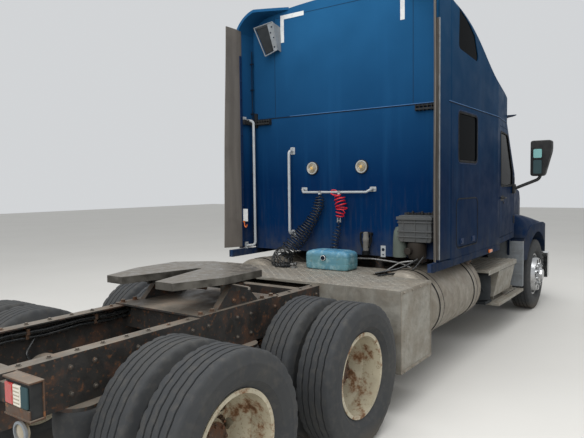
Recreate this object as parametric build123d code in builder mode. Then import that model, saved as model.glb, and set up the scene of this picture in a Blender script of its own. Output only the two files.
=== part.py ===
from build123d import *
import os
from collections import namedtuple
from math import radians, sin, cos, tan

# Semi truck tractor unit: a 6x4 chassis with twin rear tyres, a tilting hood and a high-roof
# sleeper cab. Millimetres, +X forward, +Y left, +Z up. The origin is on the ground, midway
# between the bumper's face and the rear end of the frame. Places along the vehicle are given
# from the middle of the drive tandem, and along() turns them into X.

os.makedirs("parts", exist_ok=True)

# Chassis layout
FRONT_REACH = 7220
REAR_REACH = 1500
WHEELBASE = 6000
AXLE_SPACING = 1320
RAIL_TOP = 980
RAIL_HEIGHT = 270
RAIL_FLANGE = 90
RAIL_GAUGE = 9
RAIL_OUTER_HALF = 432
RAIL_FRONT = 6960
RAIL_REAR = 20 - REAR_REACH

# Wheels: 22.5 inch rims
TYRE_RADIUS = 505
TYRE_WIDTH = 285
TREAD_WIDTH = 230
RIM_SEAT_RADIUS = 286
RIM_FLANGE_RADIUS = 299
RIM_WIDTH = 200
RIM_GAUGE = 12
RIM_LIP = 10
DISC_GAUGE = 12
DISC_OFFSET = 166
DISC_FLAT_RADIUS = 226
HAND_HOLE_RADIUS = 33
HAND_HOLE_CIRCLE = 196
HAND_HOLES = 10
HUB_RADIUS = 108
DRUM_RADIUS = 206
SPINDLE_RADIUS = 45
RUNNING_GAP = 0.3
TWIN_PLANE_HALF = 905
FRONT_TYRE_HALF = 1029
KINGPIN_HALF = 860
KINGPIN_RADIUS = 24
ARCH_RADIUS = 622

# Cab
CAB_REAR = 2343
CAB_HALF = 1172
CAB_FLOOR_Z = 1120
BELT_Z = 1950
SEAM_Z = 2590
COWL_FRONT = 5250
HEADER_FRONT = 4910
CAB_TAPER_START = 3950
COWL_CORNER_HALF = 1080
HEADER_CORNER_HALF = 1060
FRONT_BOW = 120
CORNER_RADIUS = 150
REAR_CORNER_RADIUS = 75
WALL = 55
GLASS_RECESS = 8
GLASS = 6
PANEL_GAP = 6
ROOF_ARC_BULGE = 0.16
ROOF_OVERLAP = 30

# Fuel tanks and side boxes
SKIRT_HALF = 1180
TANK_RADIUS = 320
TANK_Z = 720
TANK_HALF = 860
TANK_REAR = 1940
TANK_FRONT = 3360
TAIL_LAMP_HALF = (500, 700)
DECK_Z = 1000

# Coupling
FIFTH_WHEEL_X = 250
FIFTH_WHEEL_TOP = 1220
KINGPIN_SEAT_RADIUS = 25.4

# Hood
HOOD_REAR = 5140
HOOD_GAP = 12
FENDER_REAR = 5262
HOOD_REAR_TOP = 1900
HOOD_SLOPE = 0.16
HOOD_FRONT = 7090
HOOD_BOTTOM = 860
HOOD_WALL = 22
HOOD_PIVOT = (7040, 800)
HINGE_PIN_RADIUS = 16
HINGE_LUG_HALF = (440, 475)
FENDER_HALF = 1180
FENDER_TOP = 1250
FENDER_BOTTOM = 780

TANDEM_X = (REAR_REACH - FRONT_REACH) / 2
AXLE_Z = TYRE_RADIUS
RAIL_BOTTOM = RAIL_TOP - RAIL_HEIGHT
TWIN_OUTER_HALF = TWIN_PLANE_HALF + DISC_OFFSET
TWIN_INNER_HALF = TWIN_PLANE_HALF - DISC_OFFSET
FAR = 4000

Side = namedtuple("Side", "name sign")
SIDES = (Side("left", 1), Side("right", -1))


def along(distance):
    """X of a place given from the middle of the drive tandem."""
    return TANDEM_X + distance


def side_view(points):
    """(distance from the tandem, height) pairs as (X, Z) pairs."""
    return [(along(x), z) for x, z in points]


AXLE_PLACES = {"mid": along(AXLE_SPACING / 2), "rear": along(-AXLE_SPACING / 2)}
FRONT_AXLE_X = along(WHEELBASE)
pivot_x = along(HOOD_PIVOT[0])
pivot_z = HOOD_PIVOT[1]


def save(part, name):
    """Label a finished piece and write it."""
    part.label = name
    export_step(part, f"parts/{name}.step")


def block(x, y, z, mode=Mode.ADD):
    """Rectangular block between the two values of each pair."""
    low = [min(pair) for pair in (x, y, z)]
    size = [abs(pair[1] - pair[0]) for pair in (x, y, z)]
    centre = [a + b / 2 for a, b in zip(low, size)]
    with Locations(tuple(centre)):
        Box(*size, mode=mode)


def rod(start, end, radius, mode=Mode.ADD):
    """Round bar between two points."""
    run = Vector(*end) - Vector(*start)
    with BuildSketch(Plane(origin=start, z_dir=run)) as section:
        Circle(radius)
    extrude(section.sketch, amount=run.length, mode=mode)


def outline(points, radii=0, grow=0):
    """Face inside a closed outline, with rounded corners, grown or shrunk by an amount."""
    with BuildSketch() as face:
        with BuildLine():
            if radii:
                FilletPolyline(*points, radius=radii, close=True)
            else:
                Polyline(*points, close=True)
        make_face()
        if grow:
            offset(amount=grow, mode=Mode.REPLACE)
    return face.sketch


def prism(plane, points, depth, radii=0, mode=Mode.ADD):
    """Outline on a plane, carried along the plane's normal."""
    with BuildSketch(plane) as section:
        add(outline(points, radii))
    extrude(section.sketch, amount=depth, mode=mode)


def side_prism(points, y, radii=0, mode=Mode.ADD):
    """Side-view outline carried between two values of Y."""
    prism(Plane.XZ.offset(-max(y)), points, max(y) - min(y), radii, mode)


def front_prism(points, x, radii=0, mode=Mode.ADD):
    """Front-view outline of (Y, Z) points carried between two values of X."""
    prism(Plane.YZ.offset(min(x)), points, max(x) - min(x), radii, mode)


def plan_prism(points, z, radii=0, mode=Mode.ADD):
    """Plan outline carried between two heights."""
    prism(Plane.XY.offset(min(z)), points, max(z) - min(z), radii, mode)


def bent_rod(points, bend_radius, radius, mode=Mode.ADD):
    """Round bar along straight runs joined by bends."""
    with BuildLine() as path:
        FilletPolyline(*points, radius=bend_radius)
    with BuildSketch(Plane(origin=path.line @ 0, z_dir=path.line % 0)) as section:
        Circle(radius)
    sweep(section.sketch, path=path.line, mode=mode)


def coil_envelope(points, radius):
    """Closed tube of a hanging coil's outer size, on straight runs and wide tangent arcs."""
    knots = [Vector(*point) for point in points]
    radii = []
    for before, here, after in zip(knots, knots[1:], knots[2:]):
        run_in = here - before
        run_out = after - here
        half_turn = radians(run_in.get_angle(run_out) / 2)
        radii.append(0.45 * min(run_in.length, run_out.length) / tan(half_turn))
    bent_rod(points, radii, radius)


def wheel_ring(profile, x, y, sign, mode=Mode.ADD):
    """Ring turned about a wheel's axis from (radius, outboard offset) points."""
    plane = Plane(origin=(x, y, AXLE_Z), x_dir=(0, 0, 1), z_dir=(-sign, 0, 0))
    with BuildSketch(plane) as section:
        add(outline(profile))
    revolve(section.sketch, axis=Axis((x, y, AXLE_Z), (0, 1, 0)), mode=mode)


# Tyres: tread, shoulders and sidewalls as (radius, half width)
TYRE_PROFILE = (
    (RIM_SEAT_RADIUS + RUNNING_GAP, RIM_WIDTH / 2 - RIM_LIP - RUNNING_GAP),
    (RIM_FLANGE_RADIUS + 5, RIM_WIDTH / 2 - RIM_LIP - RUNNING_GAP),
    (TYRE_RADIUS - 115, TYRE_WIDTH / 2),
    (TYRE_RADIUS - 22, TREAD_WIDTH / 2 + 16),
    (TYRE_RADIUS, TREAD_WIDTH / 2 - 4),
)


def tyre(x, y, sign):
    """Tyre ring at a wheel's middle plane."""
    outboard = list(TYRE_PROFILE)
    inboard = [(radius, -half) for radius, half in reversed(TYRE_PROFILE)]
    wheel_ring(outboard + inboard, x, y, sign)


def rim(x, y, sign, disc_sign):
    """Rim barrel with its flanges and bowl-shaped disc, which lies inboard or outboard."""
    half = RIM_WIDTH / 2
    barrel_inner = RIM_SEAT_RADIUS - RIM_GAUGE
    barrel = [
        (barrel_inner, -half),
        (RIM_FLANGE_RADIUS, -half),
        (RIM_FLANGE_RADIUS, -half + RIM_LIP),
        (RIM_SEAT_RADIUS, -half + RIM_LIP),
        (RIM_SEAT_RADIUS, half - RIM_LIP),
        (RIM_FLANGE_RADIUS, half - RIM_LIP),
        (RIM_FLANGE_RADIUS, half),
        (barrel_inner, half),
    ]
    wheel_ring(barrel, x, y, sign)
    seat = DISC_OFFSET
    bowl_edge = 62
    bowl = [
        (HUB_RADIUS, seat),
        (DISC_FLAT_RADIUS + 4, seat),
        (barrel_inner + 1, bowl_edge),
        (barrel_inner + 1, bowl_edge - 18),
        (DISC_FLAT_RADIUS - 4, seat - DISC_GAUGE),
        (HUB_RADIUS, seat - DISC_GAUGE),
    ]
    wheel_ring([(radius, disc_sign * offset) for radius, offset in bowl], x, y, sign)
    hole_plane = Plane(origin=(x, y, AXLE_Z), x_dir=(1, 0, 0), z_dir=(0, sign, 0))
    with BuildSketch(hole_plane.offset(disc_sign * (seat - 70))) as holes:
        with PolarLocations(HAND_HOLE_CIRCLE, HAND_HOLES):
            Circle(HAND_HOLE_RADIUS)
    extrude(holes.sketch, amount=disc_sign * 80, mode=Mode.SUBTRACT)


def front_wheel(side):
    """Steered wheel: tyre, and rim with hub and drum bored for the spindle."""
    y = side.sign * FRONT_TYRE_HALF
    with BuildPart() as tyre_part:
        tyre(FRONT_AXLE_X, y, side.sign)
    save(tyre_part.part, f"tyre_front_{side.name}")
    disc_face = DISC_OFFSET
    with BuildPart() as rim_part:
        rim(FRONT_AXLE_X, y, side.sign, 1)
        bore = SPINDLE_RADIUS + RUNNING_GAP
        hub = [
            (bore, -70),
            (DRUM_RADIUS, -70),
            (DRUM_RADIUS, 60),
            (HUB_RADIUS + 45, 60),
            (HUB_RADIUS + 45, disc_face - DISC_GAUGE),
            (HUB_RADIUS, disc_face - DISC_GAUGE),
            (HUB_RADIUS, disc_face + 18),
            (HUB_RADIUS - 28, disc_face + 30),
            (HUB_RADIUS - 34, disc_face + 62),
            (0, disc_face + 62),
            (0, disc_face + 10),
            (bore, disc_face + 10),
        ]
        wheel_ring(hub, FRONT_AXLE_X, y, side.sign)
    save(rim_part.part, f"rim_front_{side.name}")


def twin_wheels(axle_name, x, side):
    """Twin driven wheels: two tyres, and both rims on one hub and brake drum."""
    with BuildPart() as tyres:
        for half in (TWIN_OUTER_HALF, TWIN_INNER_HALF):
            tyre(x, side.sign * half, side.sign)
    save(tyres.part, f"tyres_{axle_name}_{side.name}")
    with BuildPart() as rims:
        rim(x, side.sign * TWIN_OUTER_HALF, side.sign, -1)
        rim(x, side.sign * TWIN_INNER_HALF, side.sign, 1)
        bore = SPINDLE_RADIUS + RUNNING_GAP
        y = side.sign * TWIN_PLANE_HALF
        hub = [
            (bore, -240),
            (DRUM_RADIUS, -240),
            (DRUM_RADIUS, -70),
            (HUB_RADIUS + 52, -50),
            (HUB_RADIUS + 52, -DISC_GAUGE),
            (HUB_RADIUS, -DISC_GAUGE),
            (HUB_RADIUS, 70),
            (HUB_RADIUS - 16, 78),
            (HUB_RADIUS - 16, 96),
            (0, 96),
            (0, 80),
            (bore, 80),
        ]
        wheel_ring(hub, x, y, side.sign)
    save(rims.part, f"rims_{axle_name}_{side.name}")


for side in SIDES:
    front_wheel(side)
    for axle_name, axle_x in AXLE_PLACES.items():
        twin_wheels(axle_name, axle_x, side)


# Frame rails: two channels that open towards each other
with BuildPart() as frame_rails:
    for side in SIDES:
        web = side.sign * RAIL_OUTER_HALF
        lip = side.sign * (RAIL_OUTER_HALF - RAIL_FLANGE)
        inside = side.sign * (RAIL_OUTER_HALF - RAIL_GAUGE)
        channel = [
            (web, RAIL_BOTTOM),
            (lip, RAIL_BOTTOM),
            (lip, RAIL_BOTTOM + RAIL_GAUGE),
            (inside, RAIL_BOTTOM + RAIL_GAUGE),
            (inside, RAIL_TOP - RAIL_GAUGE),
            (lip, RAIL_TOP - RAIL_GAUGE),
            (lip, RAIL_TOP),
            (web, RAIL_TOP),
        ]
        front_prism(channel, (along(RAIL_REAR), along(RAIL_FRONT)))
save(frame_rails.part, "frame_rails")

CROSSMEMBER_PLACES = (-1380, -40, 1180, 2050, 3250, 6880)
CROSSMEMBER_LENGTH = 90
CROSSMEMBER_LOW = 800
CROSSMEMBER_HIGH = 950
CROSSMEMBER_GAUGE = 12
CAB_MOUNT_PLACES = (2500, 3900, 5080)
CAB_MOUNT_RADIUS = 45
END_PLATE_GAUGE = 20
LAMP_ARM_LENGTH = 50
LAMP_ARM_Z = (860, 950)
END_PLATE_TOP = 960
HINGE_PIN_HALF = 500
HINGE_EAR_INNER = 350
rail_inside = RAIL_OUTER_HALF - RAIL_GAUGE
with BuildPart() as frame_brackets:
    for place in CROSSMEMBER_PLACES:
        rear = along(place) - CROSSMEMBER_LENGTH / 2
        front = along(place) + CROSSMEMBER_LENGTH / 2
        section = [
            (rear, CROSSMEMBER_LOW),
            (front, CROSSMEMBER_LOW),
            (front, CROSSMEMBER_LOW + CROSSMEMBER_GAUGE),
            (rear + CROSSMEMBER_GAUGE, CROSSMEMBER_LOW + CROSSMEMBER_GAUGE),
            (rear + CROSSMEMBER_GAUGE, CROSSMEMBER_HIGH - CROSSMEMBER_GAUGE),
            (front, CROSSMEMBER_HIGH - CROSSMEMBER_GAUGE),
            (front, CROSSMEMBER_HIGH),
            (rear, CROSSMEMBER_HIGH),
        ]
        side_prism(section, (-rail_inside, rail_inside))

# Rear end plate, cab mounts and the pin that the hood tilts on
with BuildPart() as frame_ends:
    block(
        (along(-REAR_REACH), along(-REAR_REACH + END_PLATE_GAUGE)),
        (-RAIL_OUTER_HALF, RAIL_OUTER_HALF),
        (RAIL_BOTTOM, END_PLATE_TOP),
    )
    for side in SIDES:
        block(
            (along(RAIL_REAR), along(RAIL_REAR + LAMP_ARM_LENGTH)),
            (side.sign * RAIL_OUTER_HALF, side.sign * TAIL_LAMP_HALF[0]),
            LAMP_ARM_Z,
        )
    for place in CAB_MOUNT_PLACES:
        for side in SIDES:
            y = side.sign * (RAIL_OUTER_HALF - CAB_MOUNT_RADIUS)
            rod((along(place), y, RAIL_TOP), (along(place), y, CAB_FLOOR_Z), CAB_MOUNT_RADIUS)
    rod((pivot_x, -HINGE_PIN_HALF, pivot_z), (pivot_x, HINGE_PIN_HALF, pivot_z), HINGE_PIN_RADIUS)
    for side in SIDES:
        ear = (side.sign * HINGE_EAR_INNER, side.sign * RAIL_OUTER_HALF)
        block((along(RAIL_FRONT), pivot_x + 25), ear, (pivot_z - 45, pivot_z + 25))
    add(frame_brackets.part)
save(frame_ends.part, "frame_brackets")

# Drive axles: banjo housing, tubes, spindles and the nose that takes the shaft
BANJO_RADIUS = 195
TUBE_HALF_HEIGHT = 62
PINION_Z = 560
PINION_REACH = 330
with BuildPart() as drive_axles:
    for axle_name, axle_x in AXLE_PLACES.items():
        tube_half = TWIN_PLANE_HALF - 245
        block(
            (axle_x - TUBE_HALF_HEIGHT, axle_x + TUBE_HALF_HEIGHT),
            (-tube_half, tube_half),
            (AXLE_Z - TUBE_HALF_HEIGHT, AXLE_Z + TUBE_HALF_HEIGHT),
        )
        rod((axle_x - 95, 0, AXLE_Z), (axle_x + 95, 0, AXLE_Z), BANJO_RADIUS)
        rod((axle_x - 125, 0, AXLE_Z), (axle_x - 95, 0, AXLE_Z), BANJO_RADIUS - 45)
        rod((axle_x + 90, 0, AXLE_Z + 10), (axle_x + 190, 0, AXLE_Z + 20), 140)
        rod((axle_x + 150, 0, PINION_Z), (axle_x + PINION_REACH, 0, PINION_Z), 70)
        if axle_name == "mid":
            rod((axle_x - PINION_REACH, 0, PINION_Z), (axle_x - 100, 0, PINION_Z), 60)
        for side in SIDES:
            inner = side.sign * (tube_half - 20)
            outer = side.sign * (TWIN_PLANE_HALF + 70)
            rod((axle_x, inner, AXLE_Z), (axle_x, outer, AXLE_Z), SPINDLE_RADIUS)
save(drive_axles.part, "drive_axles")

# Drive shafts: gearbox to the forward axle, and from that to the rear one
GEARBOX_REAR = 4480
SHAFT_RADIUS = 55
with BuildPart() as drive_shafts:
    mid_nose = AXLE_PLACES["mid"] + PINION_REACH
    mid_tail = AXLE_PLACES["mid"] - PINION_REACH
    rear_nose = AXLE_PLACES["rear"] + PINION_REACH
    slant = 4
    rod((mid_nose + slant, 0, PINION_Z), (along(GEARBOX_REAR) - slant, 0, 800), SHAFT_RADIUS)
    rod((rear_nose, 0, PINION_Z), (mid_tail, 0, PINION_Z), SHAFT_RADIUS - 5)
save(drive_shafts.part, "drive_shafts")

# Rear suspension: arms under the axles, hangers on the rails and air springs
ARM_HALF = 388
ARM_WIDTH = 90
ARM_FRONT = 470
ARM_REAR = 480
BAG_RADIUS = 120
BAG_REACH = 380
with BuildPart() as suspension:
    for axle_x in AXLE_PLACES.values():
        for side in SIDES:
            y_low = side.sign * (ARM_HALF - ARM_WIDTH / 2)
            y_high = side.sign * (ARM_HALF + ARM_WIDTH / 2)
            arm_top = AXLE_Z - TUBE_HALF_HEIGHT
            arm = [
                (axle_x + ARM_FRONT, arm_top + 25),
                (axle_x + ARM_FRONT, arm_top - 35),
                (axle_x + 60, arm_top - 60),
                (axle_x - ARM_REAR, arm_top - 50),
                (axle_x - ARM_REAR, arm_top - 15),
                (axle_x - 120, arm_top),
                (axle_x + 120, arm_top),
            ]
            side_prism(arm, (y_low, y_high))
            hanger = [
                (axle_x + 400, RAIL_BOTTOM),
                (axle_x + 540, RAIL_BOTTOM),
                (axle_x + 520, arm_top - 20),
                (axle_x + 430, arm_top - 20),
            ]
            side_prism(hanger, (y_low, y_high))
            bag_x = axle_x - BAG_REACH
            bag_y = side.sign * ARM_HALF
            rod((bag_x, bag_y, arm_top - 20), (bag_x, bag_y, RAIL_BOTTOM), BAG_RADIUS)

# Front axle: dropped beam with an upright eye at each end
BEAM_DROP = 400
EYE_RADIUS = 50
EYE_HALF_HEIGHT = 62
with BuildPart() as front_axle:
    beam = [
        (-KINGPIN_HALF, AXLE_Z - 45),
        (-KINGPIN_HALF + 130, AXLE_Z - 60),
        (-KINGPIN_HALF + 260, BEAM_DROP - 45),
        (KINGPIN_HALF - 260, BEAM_DROP - 45),
        (KINGPIN_HALF - 130, AXLE_Z - 60),
        (KINGPIN_HALF, AXLE_Z - 45),
        (KINGPIN_HALF, AXLE_Z + 45),
        (KINGPIN_HALF - 160, AXLE_Z + 30),
        (KINGPIN_HALF - 300, BEAM_DROP + 45),
        (-KINGPIN_HALF + 300, BEAM_DROP + 45),
        (-KINGPIN_HALF + 160, AXLE_Z + 30),
        (-KINGPIN_HALF, AXLE_Z + 45),
    ]
    front_prism(beam, (FRONT_AXLE_X - 45, FRONT_AXLE_X + 45))
    for side in SIDES:
        y = side.sign * KINGPIN_HALF
        low = AXLE_Z - EYE_HALF_HEIGHT
        high = AXLE_Z + EYE_HALF_HEIGHT
        rod((FRONT_AXLE_X, y, low), (FRONT_AXLE_X, y, high), EYE_RADIUS)
    for side in SIDES:
        y = side.sign * KINGPIN_HALF
        low = AXLE_Z - EYE_HALF_HEIGHT - 5
        high = AXLE_Z + EYE_HALF_HEIGHT + 5
        bore = KINGPIN_RADIUS + RUNNING_GAP
        rod((FRONT_AXLE_X, y, low), (FRONT_AXLE_X, y, high), bore, Mode.SUBTRACT)
save(front_axle.part, "front_axle")

# Front leaf springs between the rails and the beam
SPRING_HALF = 388
SPRING_WIDTH = 80
LEAF_TOP = 560
LEAF_STACK = 50
LEAF_SEAT = 200
LEAF_EYE = 640
LEAF_TIP = 760
with BuildPart() as front_springs:
    add(suspension.part)
    for side in SIDES:
        y_low = side.sign * (SPRING_HALF - SPRING_WIDTH / 2)
        y_high = side.sign * (SPRING_HALF + SPRING_WIDTH / 2)
        leaf = [
            (FRONT_AXLE_X - LEAF_TIP, RAIL_BOTTOM - 30),
            (FRONT_AXLE_X - LEAF_EYE, RAIL_BOTTOM - 75),
            (FRONT_AXLE_X - LEAF_SEAT, LEAF_TOP - LEAF_STACK),
            (FRONT_AXLE_X + LEAF_SEAT, LEAF_TOP - LEAF_STACK),
            (FRONT_AXLE_X + LEAF_EYE, RAIL_BOTTOM - 75),
            (FRONT_AXLE_X + LEAF_TIP, RAIL_BOTTOM - 30),
            (FRONT_AXLE_X + LEAF_EYE, RAIL_BOTTOM - 40),
            (FRONT_AXLE_X + LEAF_SEAT, LEAF_TOP),
            (FRONT_AXLE_X - LEAF_SEAT, LEAF_TOP),
            (FRONT_AXLE_X - LEAF_EYE, RAIL_BOTTOM - 40),
        ]
        side_prism(leaf, (y_low, y_high))
        for end in (-1, 1):
            x = FRONT_AXLE_X + end * 710
            block((x - 50, x + 50), (y_low, y_high), (RAIL_BOTTOM - 70, RAIL_BOTTOM))
        x = FRONT_AXLE_X
        block((x - 90, x + 90), (y_low, y_high), (BEAM_DROP + 45, LEAF_TOP - 20))
save(front_springs.part, "springs")

# Steering knuckles: kingpin, ears either side of the beam's eye, spindle and tie-rod arm
EAR_GAP = 1
EAR_HEIGHT = 34
ARM_REACH = 210
TIE_PIN_RADIUS = 12
TIE_EYE_RADIUS = 24
TIE_ARM_Z = 345
for side in SIDES:
    y = side.sign * KINGPIN_HALF
    with BuildPart() as knuckle:
        top = AXLE_Z + EYE_HALF_HEIGHT + EAR_GAP
        bottom = AXLE_Z - EYE_HALF_HEIGHT - EAR_GAP
        rod(
            (FRONT_AXLE_X, y, bottom - EAR_HEIGHT),
            (FRONT_AXLE_X, y, top + EAR_HEIGHT),
            KINGPIN_RADIUS,
        )
        for low, high in ((bottom - EAR_HEIGHT, bottom), (top, top + EAR_HEIGHT)):
            rod((FRONT_AXLE_X, y, low), (FRONT_AXLE_X, y, high), 46)
            block(
                (FRONT_AXLE_X - 40, FRONT_AXLE_X + 40),
                (y, y + side.sign * 82),
                (low, high),
            )
        block(
            (FRONT_AXLE_X - 40, FRONT_AXLE_X + 40),
            (y + side.sign * 54, y + side.sign * 82),
            (bottom - EAR_HEIGHT, top + EAR_HEIGHT),
        )
        tip = side.sign * (FRONT_TYRE_HALF + 110)
        rod(
            (FRONT_AXLE_X, y + side.sign * 80, AXLE_Z),
            (FRONT_AXLE_X, tip, AXLE_Z),
            SPINDLE_RADIUS,
        )
        arm_x = FRONT_AXLE_X - ARM_REACH
        rod((FRONT_AXLE_X, y, TIE_ARM_Z), (FRONT_AXLE_X, y, bottom - 20), 30)
        rod((FRONT_AXLE_X, y, TIE_ARM_Z + 12), (arm_x, y, TIE_ARM_Z + 12), 10)
        rod((arm_x, y, TIE_ARM_Z), (arm_x, y, TIE_ARM_Z + 24), TIE_EYE_RADIUS)
        rod((arm_x, y, TIE_ARM_Z - 40), (arm_x, y, TIE_ARM_Z), TIE_PIN_RADIUS)
    save(knuckle.part, f"knuckle_{side.name}")

# Tie rod: joins the two arms from below
with BuildPart() as tie_rod:
    arm_x = FRONT_AXLE_X - ARM_REACH
    rod((arm_x, -KINGPIN_HALF, TIE_ARM_Z - 22), (arm_x, KINGPIN_HALF, TIE_ARM_Z - 22), 15)
    for side in SIDES:
        y = side.sign * KINGPIN_HALF
        rod((arm_x, y, TIE_ARM_Z - 40), (arm_x, y, TIE_ARM_Z - 1), TIE_EYE_RADIUS)
    for side in SIDES:
        y = side.sign * KINGPIN_HALF
        slack = RUNNING_GAP if side.sign > 0 else 1.0
        rod(
            (arm_x, y, TIE_ARM_Z - 45),
            (arm_x, y, TIE_ARM_Z + 5),
            TIE_PIN_RADIUS + slack,
            Mode.SUBTRACT,
        )
save(tie_rod.part, "tie_rod")

# Engine as one plain block on feet that rest on the rails, with the gearbox behind it
with BuildPart() as engine:
    block((along(5480), along(6600)), (-330, 330), (800, 1500))
    for place in (5650, 6400):
        block((along(place), along(place + 110)), (-430, 430), (RAIL_TOP, RAIL_TOP + 55))
    rod((along(5230), 0, 830), (along(5480), 0, 830), 255)
    rod((along(4560), 0, 820), (along(5230), 0, 820), 190)
    rod((along(GEARBOX_REAR), 0, 800), (along(4560), 0, 800), 75)
    block((along(6740), along(6850)), (-430, 430), (RAIL_TOP, 1480))
save(engine.part, "engine_block")

# Fuel tanks with domed ends, brackets from the rails and straps
STRAP_PLACES = (2150, 3120)
with BuildPart() as tanks:
    for side in SIDES:
        y = side.sign * TANK_HALF
        rod((along(TANK_REAR), y, TANK_Z), (along(TANK_FRONT), y, TANK_Z), TANK_RADIUS)
    fillet(tanks.edges().filter_by(GeomType.CIRCLE), radius=70)
save(tanks.part, "fuel_tanks")

STRAP_WIDTH = 80
STRAP_GAUGE = 6
TANK_BRACKET_BOTTOM = 340
with BuildPart() as tank_brackets:
    for side in SIDES:
        y = side.sign * TANK_HALF
        for place in STRAP_PLACES:
            low = along(place) - STRAP_WIDTH / 2
            high = along(place) + STRAP_WIDTH / 2
            rail_face = side.sign * RAIL_OUTER_HALF
            block((low, high), (rail_face, y), (TANK_BRACKET_BOTTOM, RAIL_TOP - 40))
            rod((low, y, TANK_Z), (high, y, TANK_Z), TANK_RADIUS + STRAP_GAUGE)
    for side in SIDES:
        y = side.sign * TANK_HALF
        for place in STRAP_PLACES:
            low = along(place) - STRAP_WIDTH
            high = along(place) + STRAP_WIDTH
            rod((low, y, TANK_Z), (high, y, TANK_Z), TANK_RADIUS, Mode.SUBTRACT)
save(tank_brackets.part, "tank_straps")

# Boxes behind the tanks and the chequered deck between them
BOX_REAR = 1262
BOX_FRONT = 1890
BOX_BOTTOM = 340
DECK_FRONT = 2310
DECK_NARROW_HALF = 600
deck_under = DECK_Z - 8
with BuildPart() as deck:
    for side in SIDES:
        block(
            (along(BOX_REAR), along(BOX_FRONT)),
            (side.sign * RAIL_OUTER_HALF, side.sign * SKIRT_HALF),
            (BOX_BOTTOM, deck_under),
        )
    block(
        (along(BOX_REAR), along(DECK_FRONT)),
        (-RAIL_OUTER_HALF, RAIL_OUTER_HALF),
        (RAIL_TOP, deck_under),
    )
    block((along(BOX_REAR), along(BOX_FRONT)), (-SKIRT_HALF, SKIRT_HALF), (deck_under, DECK_Z))
    block(
        (along(BOX_FRONT), along(DECK_FRONT)),
        (-DECK_NARROW_HALF, DECK_NARROW_HALF),
        (deck_under, DECK_Z),
    )
save(deck.part, "rear_deck")

# Step boxes under the doors, each with a lower tread that reaches forward
STEP_INNER_HALF = 640
STEP_EDGE_RADIUS = 12
STEP_BRACKETS = (3950, 4600)
STEP_BRACKET_WIDTH = 130
with BuildPart() as steps:
    step_box = side_view([(3600, 385), (5180, 385), (5180, 420), (4980, 480), (4800, 860), (3600, 860)])
    for side in SIDES:
        outer = side.sign * SKIRT_HALF
        side_prism(step_box, (side.sign * STEP_INNER_HALF, outer), STEP_EDGE_RADIUS)
        for place in STEP_BRACKETS:
            block(
                (along(place), along(place + STEP_BRACKET_WIDTH)),
                (side.sign * RAIL_OUTER_HALF, side.sign * (STEP_INNER_HALF + 20)),
                (500, 840),
            )
save(steps.part, "step_boxes")

# Air tanks slung between the rails
with BuildPart() as air_tanks:
    for place in (1480, 1780):
        rod((along(place), -rail_inside, 830), (along(place), rail_inside, 830), 100)
save(air_tanks.part, "air_tanks")

# Exhaust: the outlet of the silencer, which the right step box covers
with BuildPart() as exhaust:
    outlet = [
        (along(4300), -640, 560),
        (along(4300), -250, 560),
        (along(3650), -250, 560),
        (along(3500), -250, 440),
    ]
    bent_rod(outlet, 120, 50)
save(exhaust.part, "exhaust_pipe")


# Cab body: straight sides to the belt, then a windscreen that rakes back to the header
def cab_plan(front, corner_half, inset):
    """Plan outline of the cab, with its front bowed between the rounded corners."""
    front_corner = along(front - FRONT_BOW)
    points = [
        (front_corner, corner_half),
        (along(CAB_TAPER_START), CAB_HALF),
        (along(CAB_REAR), CAB_HALF),
        (along(CAB_REAR), -CAB_HALF),
        (along(CAB_TAPER_START), -CAB_HALF),
        (front_corner, -corner_half),
    ]
    with BuildSketch() as plan:
        with BuildLine():
            Polyline(*points)
            ThreePointArc(points[-1], (along(front), 0), points[0])
        make_face()
        fillet(plan.vertices().group_by(Axis.X)[-1], CORNER_RADIUS)
        fillet(plan.vertices().group_by(Axis.X)[0], REAR_CORNER_RADIUS)
        if inset:
            offset(amount=-inset, mode=Mode.REPLACE)
    return plan.sketch


def cab_body(inset=0, floor=CAB_FLOOR_Z, top=SEAM_Z):
    """Cab below the roof seam as one closed body, inset from the outer skin."""
    slope = (HEADER_FRONT - COWL_FRONT) / (SEAM_Z - BELT_Z)
    narrowing = (HEADER_CORNER_HALF - COWL_CORNER_HALF) / (SEAM_Z - BELT_Z)
    rise = top - BELT_Z
    with BuildPart() as body:
        with BuildSketch(Plane.XY.offset(floor)):
            add(cab_plan(COWL_FRONT, COWL_CORNER_HALF, inset))
        extrude(amount=BELT_Z - floor)
        with BuildSketch(Plane.XY.offset(BELT_Z)):
            add(cab_plan(COWL_FRONT, COWL_CORNER_HALF, inset))
        with BuildSketch(Plane.XY.offset(top)):
            add(cab_plan(COWL_FRONT + slope * rise, COWL_CORNER_HALF + narrowing * rise, inset))
        loft(ruled=True)
    return body.part


FLOOR_GAUGE = 45
cab_outer = cab_body()
cab_inner = cab_body(WALL, CAB_FLOOR_Z + FLOOR_GAUGE, SEAM_Z + 1)
cab_pane_outer = cab_body(GLASS_RECESS)
cab_pane_inner = cab_body(GLASS_RECESS + GLASS)

# Openings in the sides, in side view: (distance from the tandem, height)
DOOR = side_view([(4030, 1190), (4950, 1190), (4950, 1960), (4700, 2510), (4030, 2510)])
DOOR_WINDOW = side_view([(4110, 1800), (4870, 1800), (4870, 1985), (4655, 2440), (4110, 2440)])
SLEEPER_WINDOW = side_view([(2600, 2050), (3170, 2050), (3170, 2520), (2600, 2520)])
LUGGAGE_LOW = 1215
LUGGAGE_HIGH = 1680
LUGGAGE_REAR = 2560
LUGGAGE_FRONT = 3190


def luggage_outline(top):
    """Side outline of the luggage door up to a given top edge."""
    return side_view([
        (LUGGAGE_REAR, LUGGAGE_LOW),
        (LUGGAGE_FRONT, LUGGAGE_LOW),
        (LUGGAGE_FRONT, top),
        (LUGGAGE_REAR, top),
    ])


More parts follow.
